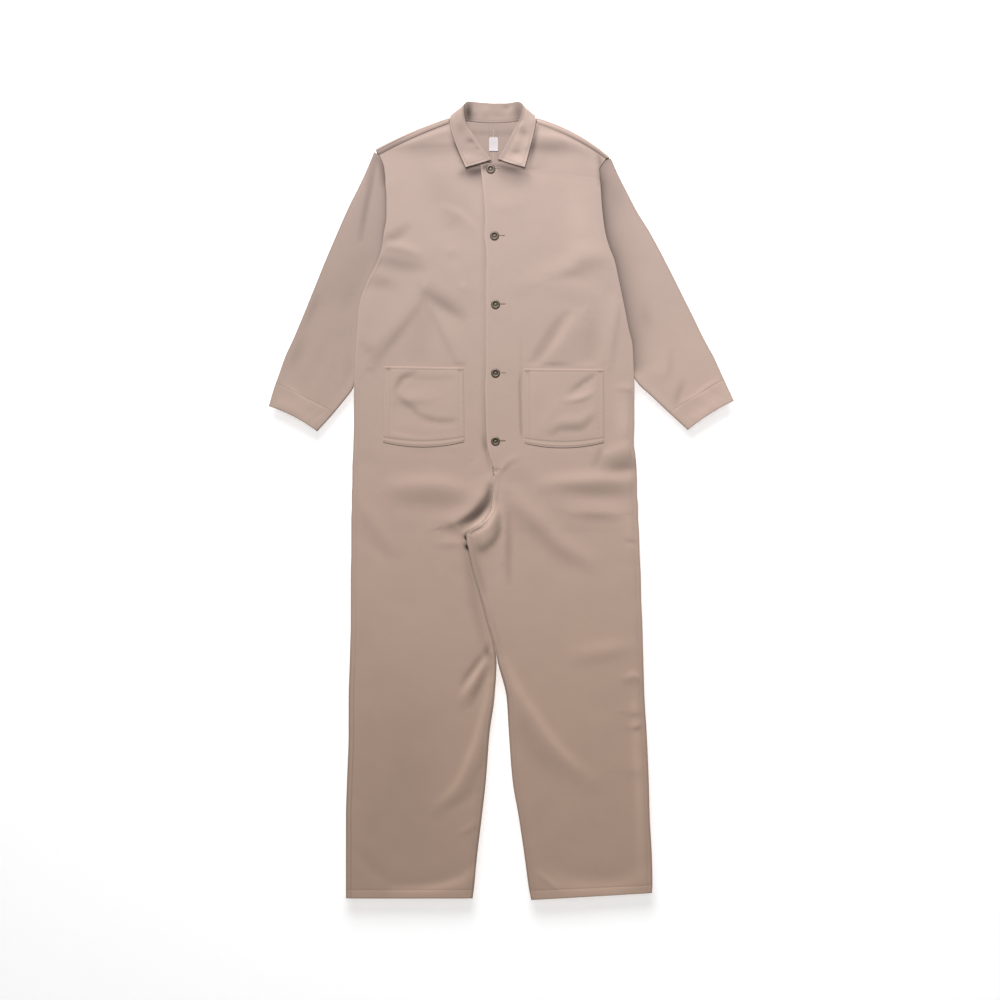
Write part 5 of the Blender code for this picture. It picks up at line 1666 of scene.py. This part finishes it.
class SUIT_OT_fronts(bpy.types.Operator):
    """Both fronts, shoulder to hem, with the buttonholes cut in the left one"""
    bl_idname = "object.suit_fronts"
    bl_label = "Fronts"

    def execute(self, context):
        cloth = context.scene.suit_cloth
        for name, side, rests in (("front_left_cloth", LEFT, "front_right"),
                                  ("front_right_cloth", RIGHT, "back_right")):
            obj = make_front(name, side, cloth)
            if side > 0:
                cut_buttonholes(obj, KEYHOLE_EYE, KEYHOLE_REACH, KEYHOLE_SLIT)
            add_panel(obj, cloth, flat=(0.36, 1.49), held="laid", area=0.385,
                      rests_on=[rests, "back_left" if side > 0 else "sleeve_right"])
        return {"FINISHED"}


class SUIT_OT_backs(bpy.types.Operator):
    """Both backs, from the neckline and the forward shoulder seam to the hem"""
    bl_idname = "object.suit_backs"
    bl_label = "Backs"

    def execute(self, context):
        cloth = context.scene.suit_cloth
        for name, side in (("back_left_cloth", LEFT), ("back_right_cloth", RIGHT)):
            obj = make_back(name, side, cloth)
            add_panel(obj, cloth, flat=(0.34, 1.50), held="folded", area=0.375, rests_on=[])
        return {"FINISHED"}


class SUIT_OT_sleeves(bpy.types.Operator):
    """Both sleeves, each a flattened tube with a deep turned hem"""
    bl_idname = "object.suit_sleeves"
    bl_label = "Sleeves"

    def execute(self, context):
        cloth = context.scene.suit_cloth
        for name, side in (("sleeve_left_cloth", LEFT), ("sleeve_right_cloth", RIGHT)):
            obj = make_sleeve(name, side, cloth)
            add_panel(obj, cloth, flat=(0.30, 0.56), held="folded", area=0.108, rests_on=[])
        return {"FINISHED"}


class SUIT_OT_pockets(bpy.types.Operator):
    """Both patch pockets"""
    bl_idname = "object.suit_pockets"
    bl_label = "Pockets"

    def execute(self, context):
        cloth = context.scene.suit_cloth
        for name, side in (("pocket_left_cloth", LEFT), ("pocket_right_cloth", RIGHT)):
            obj = make_pocket(name, side, cloth)
            add_panel(obj, cloth, flat=(0.15, 0.15), held="laid",
                      rests_on=["front_left" if side > 0 else "front_right"])
        return {"FINISHED"}


class SUIT_OT_collar(bpy.types.Operator):
    """Turned-down collar, stand and fall in one"""
    bl_idname = "object.suit_collar"
    bl_label = "Collar"

    def execute(self, context):
        cloth = context.scene.suit_cloth
        add_panel(make_collar("collar_cloth", cloth), cloth, flat=(0.43, 0.075),
                  held="folded", area=0.025, rests_on=["front_left", "front_right"])
        return {"FINISHED"}


class SUIT_OT_label(bpy.types.Operator):
    """Bare neck label and the two thread loops that hold it"""
    bl_idname = "object.suit_label"
    bl_label = "Neck label"

    def execute(self, context):
        tape = shared(tape_material, "white_woven_tape", linear("#CCC4C7"))
        add_sheet(make_label("label_tape"), tape, "label_tape", "label",
                  flat=(0.0173, 0.0265), held="laid", rests_on=["back_left", "back_right"])
        thread = shared(thread_material, "white_sewing_thread", linear("#B9A594"))
        first = make_loop("label_loop_left", *LABEL_LOOPS[0])
        for loop in (first, copied(first, "label_loop_right", LABEL_LOOPS[1], LABEL_LOOPS[0])):
            loop.data.materials.append(thread)
            finish_piece(loop, "label_tape")
        return {"FINISHED"}


class SUIT_OT_buttons(bpy.types.Operator):
    """Five metal tack buttons, each on its shank in a buttonhole"""
    bl_idname = "object.suit_buttons"
    bl_label = "Buttons"

    def execute(self, context):
        settings = context.scene.suit_buttons
        brass = shared(brass_material, "antiqued_brass_casting", settings.colour, settings.worn)
        made = [make_button("tack_button_1", *BUTTONS[0], settings)]
        for number, place in enumerate(BUTTONS[1:], start=2):
            made.append(copied(made[0], f"tack_button_{number}", place, BUTTONS[0]))
        for number, obj in enumerate(made, start=1):
            obj.data.materials.append(brass)
            finish_piece(obj, "button_metal", f"button_{number}")
        return {"FINISHED"}


class SUIT_OT_topstitching(bpy.types.Operator):
    """Rows of stitching along the seams and hems, bar tacks and worked buttonholes"""
    bl_idname = "object.suit_topstitching"
    bl_label = "Topstitching"

    def execute(self, context):
        settings = context.scene.suit_stitching
        thread = shared(thread_material, "beige_sewing_thread", settings.colour)
        groups = {name: [row_of_stitches(line, settings.pitch / MM) for line in lines]
                  for name, lines in SEWN.items()}
        front = surface_of(bpy.data.objects["front_left_cloth"])
        right = surface_of(bpy.data.objects["front_right_cloth"])
        for x, y, length, turn in BAR_TACKS:
            for name, side in (("pocket_left_cloth", LEFT), ("pocket_right_cloth", RIGHT)):
                (ax, _), (bx, _) = POCKET[side][:2]
                if ax - 5 < x < bx + 5 and y > 200:
                    tree = surface_of(bpy.data.objects[name])
                    groups[name].append(bar_tack(tree, x, y, length, BAR_TACK_WIDTH, turn))
        groups["front_left_cloth"].append(bar_tack(front, *PLACKET_TACK))
        for x, y in BUTTONS:
            groups["front_left_cloth"].append(
                worked_buttonhole(front, x, y, KEYHOLE_EYE, KEYHOLE_REACH))
        for name, made in groups.items():
            obj = stitch_mesh(name.replace("_cloth", "_stitches"), made, settings.radius / MM)
            obj.data.materials.append(thread)
            finish_piece(obj, "twill")
        return {"FINISHED"}


class SUIT_OT_stage(bpy.types.Operator):
    """Pale floor, soft studio light from the top right and the camera straight above"""
    bl_idname = "object.suit_stage"
    bl_label = "Stage"

    def execute(self, context):
        settings = context.scene.suit_stage
        bpy.ops.object.select_all(action="DESELECT")
        for name, depth, maker in (("frosted_sheet", 0.3 * MM, frosted_material),
                                   ("white_board", BOARD_DEPTH * MM, board_material)):
            bpy.ops.mesh.primitive_plane_add(size=14, location=(0, 0, -depth))
            plane = context.object
            plane.name = name
            plane.data.materials.append(maker(name + "_finish", settings.floor))

        bpy.ops.object.light_add(type="AREA", location=KEY_PLACE)
        key = context.object
        key.name = "key_light"
        key.data.shape, key.data.size = "DISK", KEY_SIZE
        key.data.energy = settings.key
        key.rotation_euler = (Vector(KEY_AIM) - Vector(KEY_PLACE)).to_track_quat(
            "-Z", "Y").to_euler()
        world = bpy.data.worlds.new("studio")
        world.use_nodes = True
        background = world.node_tree.nodes["Background"]
        background.inputs["Color"].default_value = (1, 1, 1, 1)
        background.inputs["Strength"].default_value = settings.fill
        context.scene.world = world
        context.scene.view_settings.view_transform = "Standard"

        bpy.ops.object.camera_add(location=CAMERA_PLACE, rotation=(0, 0, 0))
        camera = context.object
        camera.name = "camera"
        camera.data.lens = 100
        camera.data.sensor_width = 36
        camera.data.clip_end = 50
        context.scene.camera = camera
        return {"FINISHED"}


class SUIT_PT_panel(bpy.types.Panel):
    """Lists the suit's settings and the steps that build it"""
    bl_idname = "SUIT_PT_panel"
    bl_label = "Boiler suit"
    bl_space_type = "VIEW_3D"
    bl_region_type = "UI"
    bl_category = "Boiler suit"

    def draw(self, context):
        for group in GROUPS:
            box = self.layout.box()
            settings = getattr(context.scene, group)
            for key in settings.bl_rna.properties.keys():
                if key not in ("rna_type", "name"):
                    box.prop(settings, key)
        for operator in OPERATORS:
            self.layout.operator(operator.bl_idname)


GROUPS = {"suit_cloth": SuitCloth, "suit_stitching": SuitStitching,
          "suit_buttons": SuitButtons, "suit_stage": SuitStage}
OPERATORS = (SUIT_OT_fronts, SUIT_OT_backs, SUIT_OT_sleeves, SUIT_OT_pockets, SUIT_OT_collar,
             SUIT_OT_label, SUIT_OT_buttons, SUIT_OT_topstitching, SUIT_OT_stage)


def register():
    for made in (*GROUPS.values(), *OPERATORS, SUIT_PT_panel):
        bpy.utils.register_class(made)
    for name, group in GROUPS.items():
        setattr(bpy.types.Scene, name, bpy.props.PointerProperty(type=group))


def unregister():
    for name in GROUPS:
        delattr(bpy.types.Scene, name)
    for made in (SUIT_PT_panel, *reversed(OPERATORS), *GROUPS.values()):
        bpy.utils.unregister_class(made)


def main():
    register()
    for operator in OPERATORS:
        group, name = operator.bl_idname.split(".")
        getattr(getattr(bpy.ops, group), name)()


if __name__ == "__main__":
    main()
